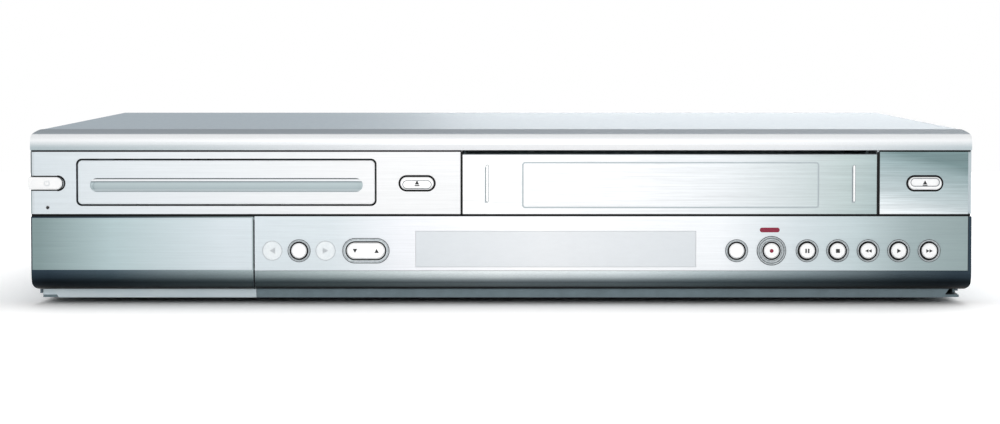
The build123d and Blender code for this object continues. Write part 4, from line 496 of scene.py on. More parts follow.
def machined_aluminium():
    """Turned aluminium: bright, with fine tool marks round the axis drawn as level hairlines."""
    material, tree, shader = new_material("turned aluminium", Metallic=1.0, Roughness=0.25)
    marks = stretched_noise(tree, (30.0, 30.0, 0.6), detail=2.0)
    two_shades(tree, shader, marks, "#c2c5c8", "#dadcde")
    relief(tree, shader, marks.outputs["Fac"], 0.08, 0.1)
    return material


def moulded(name, low, high, roughness, pitch=4.0):
    """A plain finish, moulded, printed or sintered: two close shades that drift over a pitch in
    millimetres."""
    material, tree, shader = new_material(name, Roughness=roughness, IOR=1.5)
    drift = stretched_noise(tree, (pitch, pitch, pitch), detail=2.0)
    two_shades(tree, shader, drift, low, high)
    return material


# Painted reflection: the lower panel is palest in the middle of the fascia and grey-green toward
# both ends.
lower_film = brushed_film(
    "lower panel",
    WHOLE,
    along_fascia(
        [
            (-214, "#7c8f90"),
            (-180, "#aabcbf"),
            (-127, "#c8d1d6"),
            (-78, "#c9d1d5"),
            (-46, "#dddfe3"),
            (20, "#ebeced"),
            (60, "#e4e6e8"),
            (101, "#e0e3e6"),
            (138, "#c5ced2"),
            (164, "#b5c2c5"),
            (190, "#97a6a8"),
            (214, "#8c9c9d"),
        ]
    ),
    metallic=0.75,
    lines=0.06,
)
# The upper left panel greys toward its left end, a painted reflection. In the tray's finger groove:
# painted shade along its upper edge, a painted highlight on the lip below it, another line of
# painted shade, then the sloped wall.
left_film = brushed_film(
    "upper left panel",
    WHOLE,
    along_fascia([(-214, "#dbe4e9"), (-170, "#e6ecf0"), (-60, "#f4f5f6"), (214, "#f4f5f6")]),
    metallic=0.3,
    lines=0.05,
    groove=(
        0.35,
        0.6,
        (52.4, 58.6),
        [
            (0.0, "#8f9da2"),
            (0.09, "#c9d3d6"),
            (0.20, "#a9b8bc"),
            (0.60, "#bccacd"),
            (0.70, "#a4b2b7"),
            (0.75, "#6f7d83"),
            (0.81, "#f2f5f7"),
            (0.90, "#f4f6f8"),
            (0.96, "#3f4c52"),
            (1.0, "#3f4c52"),
        ],
    ),
)
# Painted reflection: the flap is palest at its left and greyer toward its right end. Its grooves
# take a flat light grey.
flap_film = brushed_film(
    "cassette flap",
    WHOLE,
    along_fascia(
        [
            (-20, "#f7f8f8"),
            (60, "#f2f4f6"),
            (100, "#e6eaed"),
            (135, "#cfd8da"),
            (160, "#bccaca"),
            (176, "#abbcbd"),
        ]
    ),
    metallic=0.45,
    lines=0.12,
    groove=(0.15, 0.3, (0.0, 100.0), [(0.0, "#b3bdc1"), (1.0, "#bcc5c9")]),
)
# Painted shade: the upper right panel darkens toward its top and its right end.
right_film = brushed_film(
    "upper right panel",
    UPPER_RIGHT,
    [(0.2, "#e6eaec"), (0.33, "#d8dfe2"), (0.52, "#b6c2c5"), (0.87, "#93a6a9"), (1.0, "#72888a")],
    metallic=0.75,
    lines=0.2,
)
paint = satin_silver_paint()
lacquer = lacquer_with_painted_light()
steel = coated_steel()
zinc = zinc_plated_steel("panels", "#7d8c91", "#94a2a6", 7.0)
screw_zinc = zinc_plated_steel("screws", "#98a4a8", "#adb7ba", 2.0)
# The chassis takes a darker copy of the zinc: painted shade.
chassis_zinc_painted_shade = zinc_plated_steel("chassis", "#647278", "#6b7a80", 5.0)
silver = silver_abs()
pearl = key_plastic()
plating = plated_ring()
acrylic = pale_filter()
lens = lens_acrylic()
black = black_abs()
rubber = foot_rubber()
board = circuit_board()
turned = machined_aluminium()
acetal = moulded("moulded white acetal", "#dcdad2", "#e8e6df", 0.4)
core = moulded("sintered ferrite", "#3b3a37", "#54524c", 0.5, 1.5)
black_ink = moulded("pad-printed black ink", "#0e1012", "#16181a", 0.5, 0.5)
pale_ink = moulded("pad-printed grey ink", "#ccd2d6", "#d6dbde", 0.5, 0.5)
red_ink = moulded("screen-printed crimson ink", "#8a0c33", "#99143c", 0.5, 0.5)
# Painted shade: a mid grey line round the scoops of the open and eject keys.
painted_scoop_shade = moulded("mid grey painted shade round scoops", "#656d72", "#72797e", 0.5, 0.5)
# Painted shade: black pieces in the gaps and seams of the fascia.
painted_gap_shade = moulded("black painted shade in gaps and seams", "#020203", "#060708", 0.9, 1.0)
smoked = moulded("smoked acrylic lamp", "#0a0b0d", "#15161a", 0.2, 0.5)
signal_red = moulded("moulded red nylon", "#a3181f", "#b52027", 0.4)
signal_yellow = moulded("moulded yellow nylon", "#d9a514", "#e6b422", 0.4)
signal_white = moulded("moulded white nylon", "#e3e3df", "#eeeeea", 0.4)

finishes = {
    "silver_paint": paint,
    "brushed_silver_film": lower_film,
    "dark_grey_gloss": lacquer,
    "coated_steel_sheet": steel,
    "zinc_plated_steel": zinc,
    "key_plastic": pearl,
    "bezel_chrome": plating,
    "display_filter": acrylic,
    "lens_plastic": lens,
    "display_glass": black,
    "black_plastic": black,
    "foot_rubber": rubber,
    "circuit_board": board,
    "transformer_core": core,
    "machined_aluminium": turned,
    "guide_steel": turned,
    "white_acetal": acetal,
}
for part in frame["record"]["subparts"]:
    dress(part["node"], finishes[part["material_slot"]])
dress("upper_left_panel", left_film)
dress("tray_front", left_film)
dress("cassette_flap", flap_film)
dress("upper_right_panel", right_film)
dress("jack_housing", silver)
dress("bottom_chassis", chassis_zinc_painted_shade)


# ---------------------------------------------------------------------------------------------
# Flat shapes, each an outline of (x, z) in millimetres
# ---------------------------------------------------------------------------------------------
def circle(radius, count=24):
    """A circle round the origin."""
    turns = [2 * pi * i / count for i in range(count)]
    return [(radius * cos(t), radius * sin(t)) for t in turns]


def triangle(x, z, size, direction):
    """An isosceles triangle that points left, right, up or down."""
    points = [(-0.5, -0.55), (0.5, 0.0), (-0.5, 0.55)]
    turn = {"right": 0, "up": 90, "left": 180, "down": 270}[direction]
    c, s = cos(radians(turn)), sin(radians(turn))
    return [(x + size * (c * a - s * b), z + size * (s * a + c * b)) for a, b in points]


def bar(x, z, width, height):
    """An upright rectangle round its middle."""
    corners = ((-0.5, -0.5), (0.5, -0.5), (0.5, 0.5), (-0.5, 0.5))
    return [(x + a * width, z + b * height) for a, b in corners]


def slot_outline(x, z, length, height, count=10):
    """A slot whose long way is across, or upright where the height is the larger."""
    radius = min(length, height) / 2
    points = []
    for i in range(4 * count):
        turn = 2 * pi * (i + 0.5) / (4 * count)
        a, b = cos(turn), sin(turn)
        shift_x = (length / 2 - radius) * (1 if a > 0 else -1)
        shift_z = (height / 2 - radius) * (1 if b > 0 else -1)
        points.append((x + shift_x + radius * a, z + shift_z + radius * b))
    return points


def arc(x, z, radius, width, start, end, count=18):
    """Part of a ring, between two angles in degrees, as a row of four-sided outlines."""
    turns = [radians(start + (end - start) * i / count) for i in range(count + 1)]
    outer, inner = (
        [(x + r * cos(t), z + r * sin(t)) for t in turns]
        for r in (radius + width / 2, radius - width / 2)
    )
    return [[outer[i], outer[i + 1], inner[i + 1], inner[i]] for i in range(count)]


# ---------------------------------------------------------------------------------------------
# Flat pieces: symbols, labels, seals and foam
# ---------------------------------------------------------------------------------------------
body_of = {n: b for b, members in frame["record"]["behaviour"]["bodies"].items() for n in members}


def as_data(name, mesh):
    """Writes a bmesh into a mesh of its own, and frees it."""
    data = bpy.data.meshes.new(name)
    mesh.to_mesh(data)
    mesh.free()
    return data


def finished(name, data, material, body):
    """Puts a mesh in the scene as a piece on a body."""
    if material:
        data.materials.append(material)
    piece = bpy.data.objects.new(name, data)
    scene.collection.objects.link(piece)
    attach(piece, body)
    return piece


def prism(name, outlines, at, material, body, proud=0.04, buried=0.02):
    """Flat shapes round a point in metres. They stand proud of it toward the front and go into
    what is behind it, both in millimetres."""
    mesh = bmesh.new()
    for outline in outlines:
        back, front = (
            [mesh.verts.new((at[0] + a * MM, at[1] + y * MM, at[2] + b * MM)) for a, b in outline]
            for y in (buried, -proud)
        )
        mesh.faces.new(back)
        mesh.faces.new(front[::-1])
        count = len(outline)
        for i in range(count):
            j = (i + 1) % count
            mesh.faces.new([front[i], front[j], back[j], back[i]])
    bmesh.ops.recalc_face_normals(mesh, faces=mesh.faces)
    return finished(name, as_data(name, mesh), material, body)


def symbol(node, outlines, material=None, sunk=0.0):
    """Prints shapes round the middle of a key's face, or on the floor of a scoop in it."""
    at = middle(node)
    at.y = face_of(node) + sunk * MM
    prism(node + "_mark", outlines, at, material or black_ink, body_of[node])


SCOOP = 0.5  # how far the faces of the standby, open and eject keys are scooped out, in mm
PAIR = (-0.75, 0.75)  # the middles of the two triangles of a winding symbol

symbol("pause_button", [bar(x, 0.0, 0.7, 2.0) for x in (-0.6, 0.6)])
symbol("stop_button", [bar(0.0, 0.0, 1.8, 1.8)])
symbol("rewind_button", [triangle(x, 0.0, 1.5, "left") for x in PAIR])
symbol("play_button", [triangle(0.1, 0.0, 1.9, "right")])
symbol("forward_button", [triangle(x, 0.0, 1.5, "right") for x in PAIR])
symbol("record_button", [circle(0.9)], red_ink)
symbol("channel_rocker", [triangle(-5.0, 0.0, 1.9, "down"), triangle(5.0, 0.0, 1.9, "up")])
for node in ("open_button", "eject_button"):
    symbol(node, [triangle(0.0, 0.45, 1.9, "up"), bar(0.0, -1.05, 2.3, 0.5)], sunk=SCOOP)

# The power mark is a ring that is open at the top, with an upright bar in the opening.
power_mark = arc(0.0, 0.0, 1.15, 0.3, 125, 415) + [bar(0.0, 0.95, 0.3, 1.2)]
symbol("standby_button", power_mark, pale_ink, sunk=SCOOP)

# The dark gap round the standby key, painted shade: two bars from the fascia's left end, joined by
# half a ring.
standby = middle("standby_button")
fascia_end = -217.2
arc_x = standby.x / MM + 4.8
gap_middle, gap_length = (arc_x + fascia_end) / 2, arc_x - fascia_end
prism(
    "standby_gap_seal",
    arc(arc_x, 0.0, 3.3, 0.75, -90, 90)
    + [bar(gap_middle, side * 3.25, gap_length, 0.5) for side in (-1, 1)],
    (0.0, fascia_y, standby.z),
    painted_gap_shade,
    "case",
    proud=0.1,
)

# Printed label over the record key, left without words.
record = middle("record_button")
prism(
    "record_label",
    [slot_outline(-0.8, 9.6, 9.2, 2.2)],
    (record.x, fascia_y, record.z),
    red_ink,
    "case",
    proud=0.03,
)

# The standby lamp's smoked cap, and the arrows printed inside the two lenses, which are on either
# side of the copy key.
lens_low, lens_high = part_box("indicator_lenses")
lamp = (-209.5 * MM, lens_low.y, lens_high.z - 0.88 * MM)
prism("standby_lamp_cap", [circle(0.75)], lamp, smoked, "case")
copy_key = middle("copy_button")
lens_places = (-12.4, 12.2)
prism(
    "lens_arrows",
    [triangle(x, 0.0, 2.6, way) for x, way in zip(lens_places, ("left", "right"))],
    (copy_key.x, lens_low.y, copy_key.z),
    pale_ink,
    "case",
)

# Raised grips on the flap, one near each end.
flap_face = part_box("cassette_flap")[0].y
grips = [(-6.4, 56.2), (163.1, 56.2)]
prism(
    "flap_grips",
    [slot_outline(x, z, 0.9, 16.8) for x, z in grips],
    (0.0, flap_face, 0.0),
    pearl,
    "flap",
    proud=0.25,
)

# The dark edges where the panels beside the flap start, painted shade. The flap's box takes in its
# pivots, so the sides of its face are given.
panel_low, panel_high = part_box("upper_right_panel")
flap_left, flap_right = -17.7, 173.5
panel_height = (panel_high.z - panel_low.z) / MM
prism(
    "flap_side_seals",
    [
        bar(flap_left - 0.55, 0.0, 0.8, panel_height),
        bar(flap_right + 0.8, 0.0, 1.3, panel_height),
    ],
    (0.0, panel_low.y, (panel_low.z + panel_high.z) / 2),
    painted_gap_shade,
    "case",
    proud=0.05,
    buried=0.3,
)

# Black strips of painted shade fill the seam between the upper and the lower panels, and the one
# under the top bar on both sides of the flap. They are set back from the panels' faces.
lower_seam = (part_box("lower_panel")[1].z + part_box("upper_left_panel")[0].z) / 2
upper_seam = 71.2 * MM
seam_shade_y = fascia_y + 1.0 * MM
for name, strips, z, deep in (
    (
        "panel_seam_foam",
        [bar(52.0, 0.0, 330.0, 0.95), bar(-165.05, -0.22, 104.1, 1.39)],
        lower_seam,
        6.0,
    ),
    (
        "bar_seam_foam",
        [bar(-117.6, 0.0, 198.8, 0.75), bar(195.9, 0.0, 42.0, 0.75)],
        upper_seam,
        1.5,
    ),
):
    at = (0.0, seam_shade_y, z)
    prism(name, strips, at, painted_gap_shade, "case", proud=0.0, buried=deep)


# ---------------------------------------------------------------------------------------------
# Rims and rings, by Geometry Nodes
# ---------------------------------------------------------------------------------------------
def new_tree(name, sockets):
    """A Geometry Nodes tree with its input sockets by name, and its input and output nodes."""
    tree = bpy.data.node_groups.new(name, "GeometryNodeTree")
    tree.interface.new_socket("Geometry", in_out="INPUT", socket_type="NodeSocketGeometry")
    for label, kind in sockets.items():
        tree.interface.new_socket(label, in_out="INPUT", socket_type=kind)
    tree.interface.new_socket("Geometry", in_out="OUTPUT", socket_type="NodeSocketGeometry")
    return tree, add(tree, "NodeGroupInput"), add(tree, "NodeGroupOutput")


def kept(name, start, steps, body):
    """Runs trees one after another on an object, each with its inputs, and keeps the result as a
    plain mesh piece."""
    for tree, inputs in steps:
        step = start.modifiers.new(tree.name, "NODES")
        step.node_group = tree
        sockets = {
            item.name: item.identifier
            for item in tree.interface.items_tree
            if item.in_out == "INPUT"
        }
        for label, value in inputs.items():
            step[sockets[label]] = value
    graph = bpy.context.evaluated_depsgraph_get()
    data = bpy.data.meshes.new_from_object(start.evaluated_get(graph), depsgraph=graph)
    data.name = name
    bpy.data.objects.remove(start)
    return finished(name, data, None, body)


def grown(name, steps, body):
    """A piece that trees grow from an empty mesh."""
    start = bpy.data.objects.new(name + "_start", bpy.data.meshes.new(name + "_start"))
    scene.collection.objects.link(start)
    return kept(name, start, steps, body)


def rim_tree():
    """A closed lip of rounded section that follows a slot's outline, or a circle where length
    and height are the same. Place is its middle, Half Width is half its width in the panel's
    plane, and Rise is how far it stands out."""
    tree, given, result = new_tree(
        "lip round a slot",
        {
            "Place": "NodeSocketVector",
            "Length": "NodeSocketFloat",
            "Height": "NodeSocketFloat",
            "Half Width": "NodeSocketFloat",
            "Rise": "NodeSocketFloat",
            "Finish": "NodeSocketMaterial",
        },
    )
    outline = add(
        tree,
        "GeometryNodeCurvePrimitiveQuadrilateral",
        links={"Width": given.outputs["Length"], "Height": given.outputs["Height"]},
    )
    narrow = add(
        tree,
        "ShaderNodeMath",
        {"operation": "MINIMUM"},
        links={0: given.outputs["Length"], 1: given.outputs["Height"]},
    )
    almost_half = 0.4999
    radius = add(
        tree,
        "ShaderNodeMath",
        {"operation": "MULTIPLY"},
        {1: almost_half},
        {0: narrow.outputs["Value"]},
    )
    rounded = add(
        tree,
        "GeometryNodeFilletCurve",
        {"mode": "POLY"},
        {"Count": 12},
        {"Curve": outline.outputs["Curve"], "Radius": radius.outputs["Value"]},
    )
    section = add(
        tree, "GeometryNodeCurvePrimitiveCircle", values={"Resolution": 10, "Radius": 1.0}
    )
    flat = add(
        tree,
        "ShaderNodeCombineXYZ",
        values={"Z": 1.0},
        links={"X": given.outputs["Half Width"], "Y": given.outputs["Rise"]},
    )
    pressed = add(
        tree,
        "GeometryNodeTransform",
        links={"Geometry": section.outputs["Curve"], "Scale": flat.outputs["Vector"]},
    )
    swept = add(
        tree,
        "GeometryNodeCurveToMesh",
        links={"Curve": rounded.outputs["Curve"], "Profile Curve": pressed.outputs["Geometry"]},
    )
    upright = add(
        tree,
        "GeometryNodeTransform",
        values={"Rotation": (pi / 2, 0, 0)},
        links={"Geometry": swept.outputs["Mesh"], "Translation": given.outputs["Place"]},
    )
    smooth = add(
        tree, "GeometryNodeSetShadeSmooth", links={"Geometry": upright.outputs["Geometry"]}
    )
    real = add(
        tree, "GeometryNodeRealizeInstances", links={"Geometry": smooth.outputs["Geometry"]}
    )
    dressed = add(
        tree,
        "GeometryNodeSetMaterial",
        links={"Geometry": real.outputs["Geometry"], "Material": given.outputs["Finish"]},
    )
    joined = add(
        tree, "GeometryNodeJoinGeometry", links={"Geometry": given.outputs["Geometry"]}
    )
    tree.links.new(dressed.outputs["Geometry"], joined.inputs["Geometry"])
    tree.links.new(joined.outputs["Geometry"], result.inputs["Geometry"])
    return tree


lip = rim_tree()


def rim(x, y, z, length, height, half_width, rise, material):
    """One rim's inputs, with its sizes in millimetres and its place in metres."""
    return lip, {
        "Place": (x, y, z),
        "Length": length * MM,
        "Height": height * MM,
        "Half Width": half_width * MM,
        "Rise": rise * MM,
        "Finish": material,
    }


# Round each key on the lower panel: the dark gap, painted shade, a plated lip, and a fine dark line
# outside the lip, also painted shade. The record key has two lips and three lines. Sizes follow in
# the order that rim takes them.
bezel_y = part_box("button_bezels")[0].y
lip_y = bezel_y + 0.08 * MM
gap_y = fascia_y - 0.1 * MM
GAP, WIDER_GAP = (8.06, 8.06, 0.4, 0.52, painted_gap_shade), (8.5, 8.5, 0.4, 0.5, painted_gap_shade)
LIP, LINE = (0.24, 0.3, plating), (0.16, 0.1, rubber)
RECORD_LIP, RECORD_LINE = (0.3, 0.3, plating), (0.14, 0.1, rubber)
gaps, lips, lines = [], [], []
for key in ("copy", "source", "record", "pause", "stop", "rewind", "play", "forward"):
    at = middle(key + "_button")
    x, z = at.x, at.z
    gaps.append(rim(x, gap_y, z, *GAP))
    if x > record.x:
        # On the keys to the right of the record key, a second dark ring set a little to the left
        # paints a shadow, so the gap shows wider on the left.
        gaps.append(rim(x - 0.25 * MM, fascia_y - 0.2 * MM, z, *WIDER_GAP))
    if key == "record":
        lips += [rim(x, lip_y, z, d, d, *RECORD_LIP) for d in (10.6, 12.6)]
        lines += [rim(x, bezel_y + 0.05 * MM, z, d, d, *RECORD_LINE) for d in (9.4, 11.6, 13.3)]
    else:
        lips.append(rim(x, lip_y, z, 9.3, 9.3, *LIP))
        lines.append(rim(x, lip_y, z, 10.2, 10.2, *LINE))
at = middle("channel_rocker")
gaps.append(rim(at.x, gap_y, at.z, 19.3, 8.6, 0.3, 0.52, painted_gap_shade))
lips.append(rim(at.x, lip_y, at.z, 20.5, 10.3, *LIP))
lines.append(rim(at.x, lip_y, at.z, 21.5, 11.4, *LINE))

# The open and eject keys have the gap alone, which is painted shade, and a fine line of painted
# shade round the scoop in their face.
for node, drop, key in (("open_button", -0.5, "open_key"), ("eject_button", 0.5, "eject_key")):
    at = middle(node)
    gaps.append(rim(at.x, fascia_y, at.z, 16.4, 6.8, 0.42, 0.2, painted_gap_shade))
    grown(
        node + "_scoop_edge",
        [rim(at.x, face_of(node), at.z + drop * MM, 13.2, 3.6, 0.16, 0.03, painted_scoop_shade)],
        key,
    )
grown("key_gap_seals", gaps, "case")
grown("key_lips", lips, "case")
grown("key_ring_lines", lines, "case")
grown(
    "lens_rings",
    [
        rim(copy_key.x + x * MM, lens_low.y, copy_key.z, 8.9, 8.9, 0.16, 0.12, pale_ink)
        for x in lens_places
    ],
    "case",
)
# A grey edge round each grip, painted shade on its sides.
grown(
    "flap_grip_edges",
    [rim(x * MM, flap_face, z * MM, 1.1, 17.0, 0.12, 0.2, zinc) for x, z in grips],
    "flap",
)


# ---------------------------------------------------------------------------------------------
# Screws, by Geometry Nodes, and the fan's wheel
# ---------------------------------------------------------------------------------------------
def pan_head():
    """A pan head of unit radius and height along +Z, with a cross recess, as the shape that
    screws repeat."""
    mesh = bmesh.new()
    around = 20
    turns = [2 * pi * i / around for i in range(around)]
    rings = [
        [mesh.verts.new((radius * cos(t), radius * sin(t), height)) for t in turns]
        for radius, height in ((1.0, 0.0), (1.0, 0.35), (0.93, 0.72), (0.78, 0.93), (0.66, 1.0))
    ]
    for low_ring, high_ring in zip(rings, rings[1:]):
        for i in range(around):
            j = (i + 1) % around
            mesh.faces.new([low_ring[i], low_ring[j], high_ring[j], high_ring[i]])
    mesh.faces.new(rings[0][::-1])

    # The cross: its arms at the top, and a little narrower at the bottom of the recess.
    arm, arm_half, taper, recess_z = 0.5, 0.11, 0.8, 0.4
    corners = [(arm, arm_half), (arm_half, arm_half), (arm_half, arm)]
    cross = []
    for turn in range(4):
        c, s = cos(turn * pi / 2), sin(turn * pi / 2)
        cross += [(c * a - s * b, s * a + c * b) for a, b in corners]
    top = [mesh.verts.new((a, b, 1.0)) for a, b in cross]
    deep = [mesh.verts.new((a * taper, b * taper, recess_z)) for a, b in cross]
    edges = []
    for i in range(len(cross)):
        j = (i + 1) % len(cross)
        mesh.faces.new([top[i], top[j], deep[j], deep[i]])
        edges.append(mesh.edges.get((top[i], top[j])))
    mesh.faces.new(deep)
    for i in range(around):
        edges.append(mesh.edges.get((rings[-1][i], rings[-1][(i + 1) % around])))
    bmesh.ops.triangle_fill(mesh, edges=edges, use_beauty=True)
    bmesh.ops.recalc_face_normals(mesh, faces=mesh.faces)
    head = bpy.data.objects.new("pan_head", as_data("pan_head", mesh))
    scene.collection.objects.link(head)
    return head


def screw_tree():
    """Sets a head on each point, along the point's facing, turned at random about its own axis."""
    tree, given, result = new_tree(
        "screw heads on points",
        {
            "Head": "NodeSocketObject",
            "Head Radius": "NodeSocketFloat",
            "Head Height": "NodeSocketFloat",
            "Seed": "NodeSocketInt",
            "Finish": "NodeSocketMaterial",
        },
    )
    facing = add(
        tree,
        "GeometryNodeInputNamedAttribute",
        {"data_type": "FLOAT_VECTOR"},
        {"Name": "facing"},
    )
    outward = add(
        tree,
        "FunctionNodeAlignRotationToVector",
        {"axis": "Z"},
        links={"Vector": facing.outputs["Attribute"]},
    )
    # The cross looks the same after a quarter turn, so no screw turns more. Input 3 is the
    # largest float.
    turn = add(
        tree,
        "FunctionNodeRandomValue",
        {"data_type": "FLOAT"},
        {3: pi / 2},
        {"Seed": given.outputs["Seed"]},
    )
    spin = add(
        tree,
        "FunctionNodeAxisAngleToRotation",
        values={"Axis": (0, 0, 1)},
        links={"Angle": turn.outputs[1]},
    )
    turned_head = add(
        tree,
        "FunctionNodeRotateRotation",
        {"rotation_space": "LOCAL"},
        links={"Rotation": outward.outputs["Rotation"], "Rotate By": spin.outputs["Rotation"]},
    )
    size = add(
        tree,
        "ShaderNodeCombineXYZ",
        links={
            "X": given.outputs["Head Radius"],
            "Y": given.outputs["Head Radius"],
            "Z": given.outputs["Head Height"],
        },
    )
    shape = add(tree, "GeometryNodeObjectInfo", links={"Object": given.outputs["Head"]})
    heads = add(
        tree,
        "GeometryNodeInstanceOnPoints",
        links={
            "Points": given.outputs["Geometry"],
            "Instance": shape.outputs["Geometry"],
            "Rotation": turned_head.outputs["Rotation"],
            "Scale": size.outputs["Vector"],
        },
    )
    real = add(
        tree, "GeometryNodeRealizeInstances", links={"Geometry": heads.outputs["Instances"]}
    )
    dressed = add(
        tree,
        "GeometryNodeSetMaterial",
        links={"Geometry": real.outputs["Geometry"], "Material": given.outputs["Finish"]},
    )
    tree.links.new(dressed.outputs["Geometry"], result.inputs["Geometry"])
    return tree


def points_facing(name, places):
    """An object of bare points, each with the way that it faces."""
    data = bpy.data.meshes.new(name)
    data.from_pydata([place for place, way in places], [], [])
    ways = data.attributes.new("facing", "FLOAT_VECTOR", "POINT")
    for i, (place, way) in enumerate(places):
        ways.data[i].vector = way
    start = bpy.data.objects.new(name, data)
    scene.collection.objects.link(start)
    return start


# Two screws on each side of the cover and three along its back edge, all turned with one seed.
head_height = 1.8 * MM
head_radius = 3.4 * MM
screw_low, screw_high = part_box("cover_screws")
side_x, side_z = screw_high.x - head_height, screw_low.z + head_radius
back_y, back_z = screw_high.y - head_height, screw_high.z - head_radius
places = [
    ((side * side_x, fascia_y + y * MM, side_z), (side, 0, 0))
    for side in (-1, 1)
    for y in (60.0, 300.0)
]
places += [((x * MM, back_y, back_z), (0, 1, 0)) for x in (-150.0, 0.0, 150.0)]
head = pan_head()
screw_inputs = {
    "Head": head,
    "Head Radius": head_radius,
    "Head Height": head_height,
    "Seed": 4,
    "Finish": screw_zinc,
}
screws = kept(
    "pan_head_screws",
    points_facing("screw_points", places),
    [(screw_tree(), screw_inputs)],
    "case",
)
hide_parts("cover_screws")
bpy.data.objects.remove(head)


def fan_wheel():
    """The fan's wheel: a domed hub and seven pitched blades that twist from the hub to the tip."""
    low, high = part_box("fan_rotor")
    centre = (low + high) / 2
    depth = high.y - low.y
    reach = (high.x - low.x) / 2
    mesh = bmesh.new()

    def point(radius, turn, y):
        """A vertex at a radius and an angle about the wheel's axis."""
        return mesh.verts.new((centre.x + radius * cos(turn), y, centre.z + radius * sin(turn)))

    # The hub is turned from a profile of (share of its radius, share of the wheel's depth). A
    # ring on the axis is a single vertex.
    hub = 0.42 * reach
    around = 32
    turns = [2 * pi * i / around for i in range(around)]
    profile = ((0.0, 1.0), (0.75, 1.0), (0.93, 0.93), (1.0, 0.78), (1.0, 0.0), (0.0, 0.0))
    rings = [
        [
            point(width * hub, turn, low.y + depth * along)
            for turn in (turns if width else turns[:1])
        ]
        for width, along in profile
    ]
    for first, second in zip(rings, rings[1:]):
        for i in range(around):
            walk = ((first, i), (first, i + 1), (second, i + 1), (second, i))
            corners = [ring[k % len(ring)] for ring, k in walk]
            mesh.faces.new(list(dict.fromkeys(corners)))

    # Each blade is a row of four-cornered sections from inside the hub to near the housing.
    blades, steps = 7, 6
    root, tip = 0.97 * hub, 0.985 * reach
    half_depth = 0.47 * depth
    half_thick = 0.5 * MM
    for blade in range(blades):
        sections = []
        for step in range(steps + 1):
            share = step / steps
            radius = root + (tip - root) * share
            lean = radians(46 - 16 * share)
            section = []
            for side, face in ((-1, -1), (1, -1), (1, 1), (-1, 1)):
                sweep = side * half_depth / tan(lean) * 0.9 / radius + 0.12 * share
                turn = 2 * pi * blade / blades + sweep + face * half_thick / radius
                section.append(point(radius, turn, centre.y + side * half_depth))
            sections.append(section)
        for section, following in zip(sections, sections[1:]):
            for i in range(4):
                j = (i + 1) % 4
                mesh.faces.new([section[i], section[j], following[j], following[i]])
        mesh.faces.new(sections[0][::-1])
        mesh.faces.new(sections[-1])
    bmesh.ops.recalc_face_normals(mesh, faces=mesh.faces)
    data = as_data("pitched_fan_wheel", mesh)
    wheel = finished("pitched_fan_wheel", data, black, "fan_wheel")
    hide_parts("fan_rotor")


fan_wheel()

# Coloured collars round the phono sockets: video yellow, left sound white, right sound red. They
# stand in a row from the left in the front bay, and in two rows from the right at the rear.
collars = (signal_yellow, signal_white, signal_red)
front_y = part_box("front_jacks")[0].y + 0.3 * MM
front_z = middle("front_jacks").z
grown(
    "front_collars",
    [
        rim(x * MM, front_y, front_z, 9.4, 9.4, 0.7, 0.5, colour)
        for x, colour in zip((-196, -182, -168), collars)
    ],
    "case",
)
socket_reach = 8.0 * MM
rear_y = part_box("rear_jacks")[1].y - socket_reach + 0.3 * MM
grown(
    "rear_collars",
    [
        rim(x * MM, rear_y, z * MM, 9.6, 9.6, 0.8, 0.7, colour)
        for z in (26, 40)
        for x, colour in zip((132, 118, 104), collars)
    ],
    "case",
)


# ---------------------------------------------------------------------------------------------
# Studio: floor, light and camera
# ---------------------------------------------------------------------------------------------
def show_white(tree):
    """One for the rays that show the background: the camera's, and those in gloss and glass."""
    path = add(tree, "ShaderNodeLightPath")
    seen = add(
        tree,
        "ShaderNodeMath",
        {"operation": "MAXIMUM"},
        links={0: path.outputs["Is Camera Ray"], 1: path.outputs["Is Glossy Ray"]},
    )
    return add(
        tree,
        "ShaderNodeMath",
        {"operation": "MAXIMUM"},
        links={0: seen.outputs["Value"], 1: path.outputs["Is Transmission Ray"]},
    )


def white_tone(tree, as_light, as_seen):
    """One level for the light that falls on the object, and another for what the eye sees."""
    white = show_white(tree)
    level = add(
        tree,
        "ShaderNodeMapRange",
        values={"To Min": as_light, "To Max": as_seen},
        links={"Value": white.outputs["Value"]},
    )
    return level.outputs["Result"]


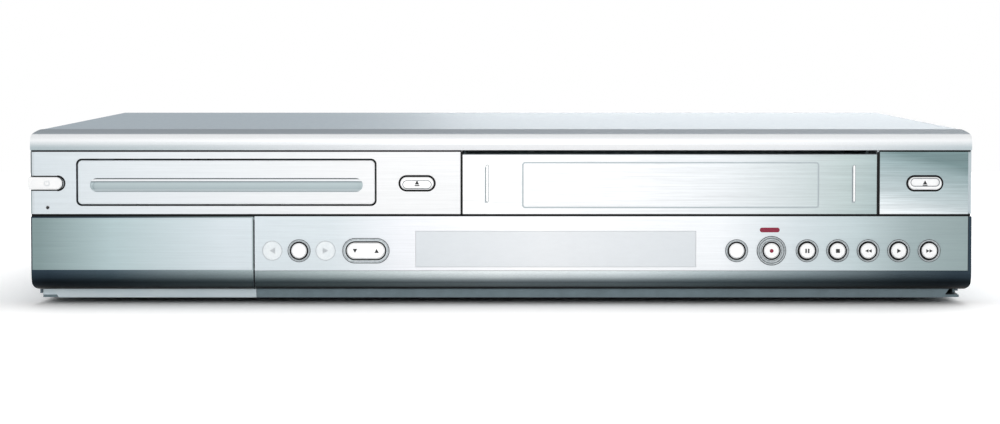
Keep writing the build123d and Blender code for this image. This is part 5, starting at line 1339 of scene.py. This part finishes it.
def studio_floor():
    """A sheet of white paper that runs from below the camera to a little behind the object."""
    mesh = bmesh.new()
    side, front, back = 2.2, -2.2, 1.3
    for x, y in ((-side, front), (side, front), (side, back), (-side, back)):
        mesh.verts.new((x, y, 0))
    mesh.faces.new(mesh.verts)
    data = as_data("studio floor", mesh)
    floor = bpy.data.objects.new("studio_floor", data)
    scene.collection.objects.link(floor)
    material, tree, shader = new_material("matt white paper", Roughness=0.9)
    tree.links.new(white_tone(tree, 0.9, 1.16), shader.inputs["Base Color"])
    data.materials.append(material)


studio_floor()


def soft_light(name, place, target, width, height, power):
    """A white softbox with its sizes in metres and its power in watts, turned to a target."""
    data = bpy.data.lights.new(name, "AREA")
    data.shape = "RECTANGLE"
    data.size = width
    data.size_y = height
    data.energy = power
    light = bpy.data.objects.new(name, data)
    light.location = place
    aim = Vector(target) - Vector(place)
    light.rotation_euler = aim.to_track_quat("-Z", "Y").to_euler()
    light.visible_camera = False
    scene.collection.objects.link(light)


soft_light("overhead softbox", (0.1, 0.5, 1.5), (0.0, 0.0, 0.0), 1.6, 0.9, 11.0)
soft_light("front softbox", (0.0, fascia_y - 2.2, 0.45), (0.0, 0.0, 0.04), 0.5, 0.9, 5.0)
soft_light("rear softbox", (0.68, 1.7, 0.36), (0.12, 0.0, 0.08), 1.6, 0.5, 13.0)


def studio_world():
    """A plain bright room: white to the eye and in gloss and glass, and lower as light."""
    world = bpy.data.worlds.new("studio")
    scene.world = world
    world.use_nodes = True
    tree = world.node_tree
    background = tree.nodes["Background"]
    tree.links.new(white_tone(tree, 0.66, 1.0), background.inputs["Strength"])
    background.inputs["Color"].default_value = (1.0, 1.0, 1.0, 1.0)


studio_world()

# The camera is 1.51 m in front of the fascia, a little above the object, and tilted down to it.
camera_distance, camera_height, camera_tilt = 1.510, 0.1238, 3.062
camera_data = bpy.data.cameras.new("camera")
camera_data.lens = 117.8
camera_data.sensor_width = 36.0
camera = bpy.data.objects.new("camera", camera_data)
camera.location = (-0.0005, fascia_y - camera_distance, camera_height)
camera.rotation_euler = (radians(90.0 - camera_tilt), 0, 0)
scene.collection.objects.link(camera)
scene.camera = camera

scene.view_settings.view_transform = "Standard"
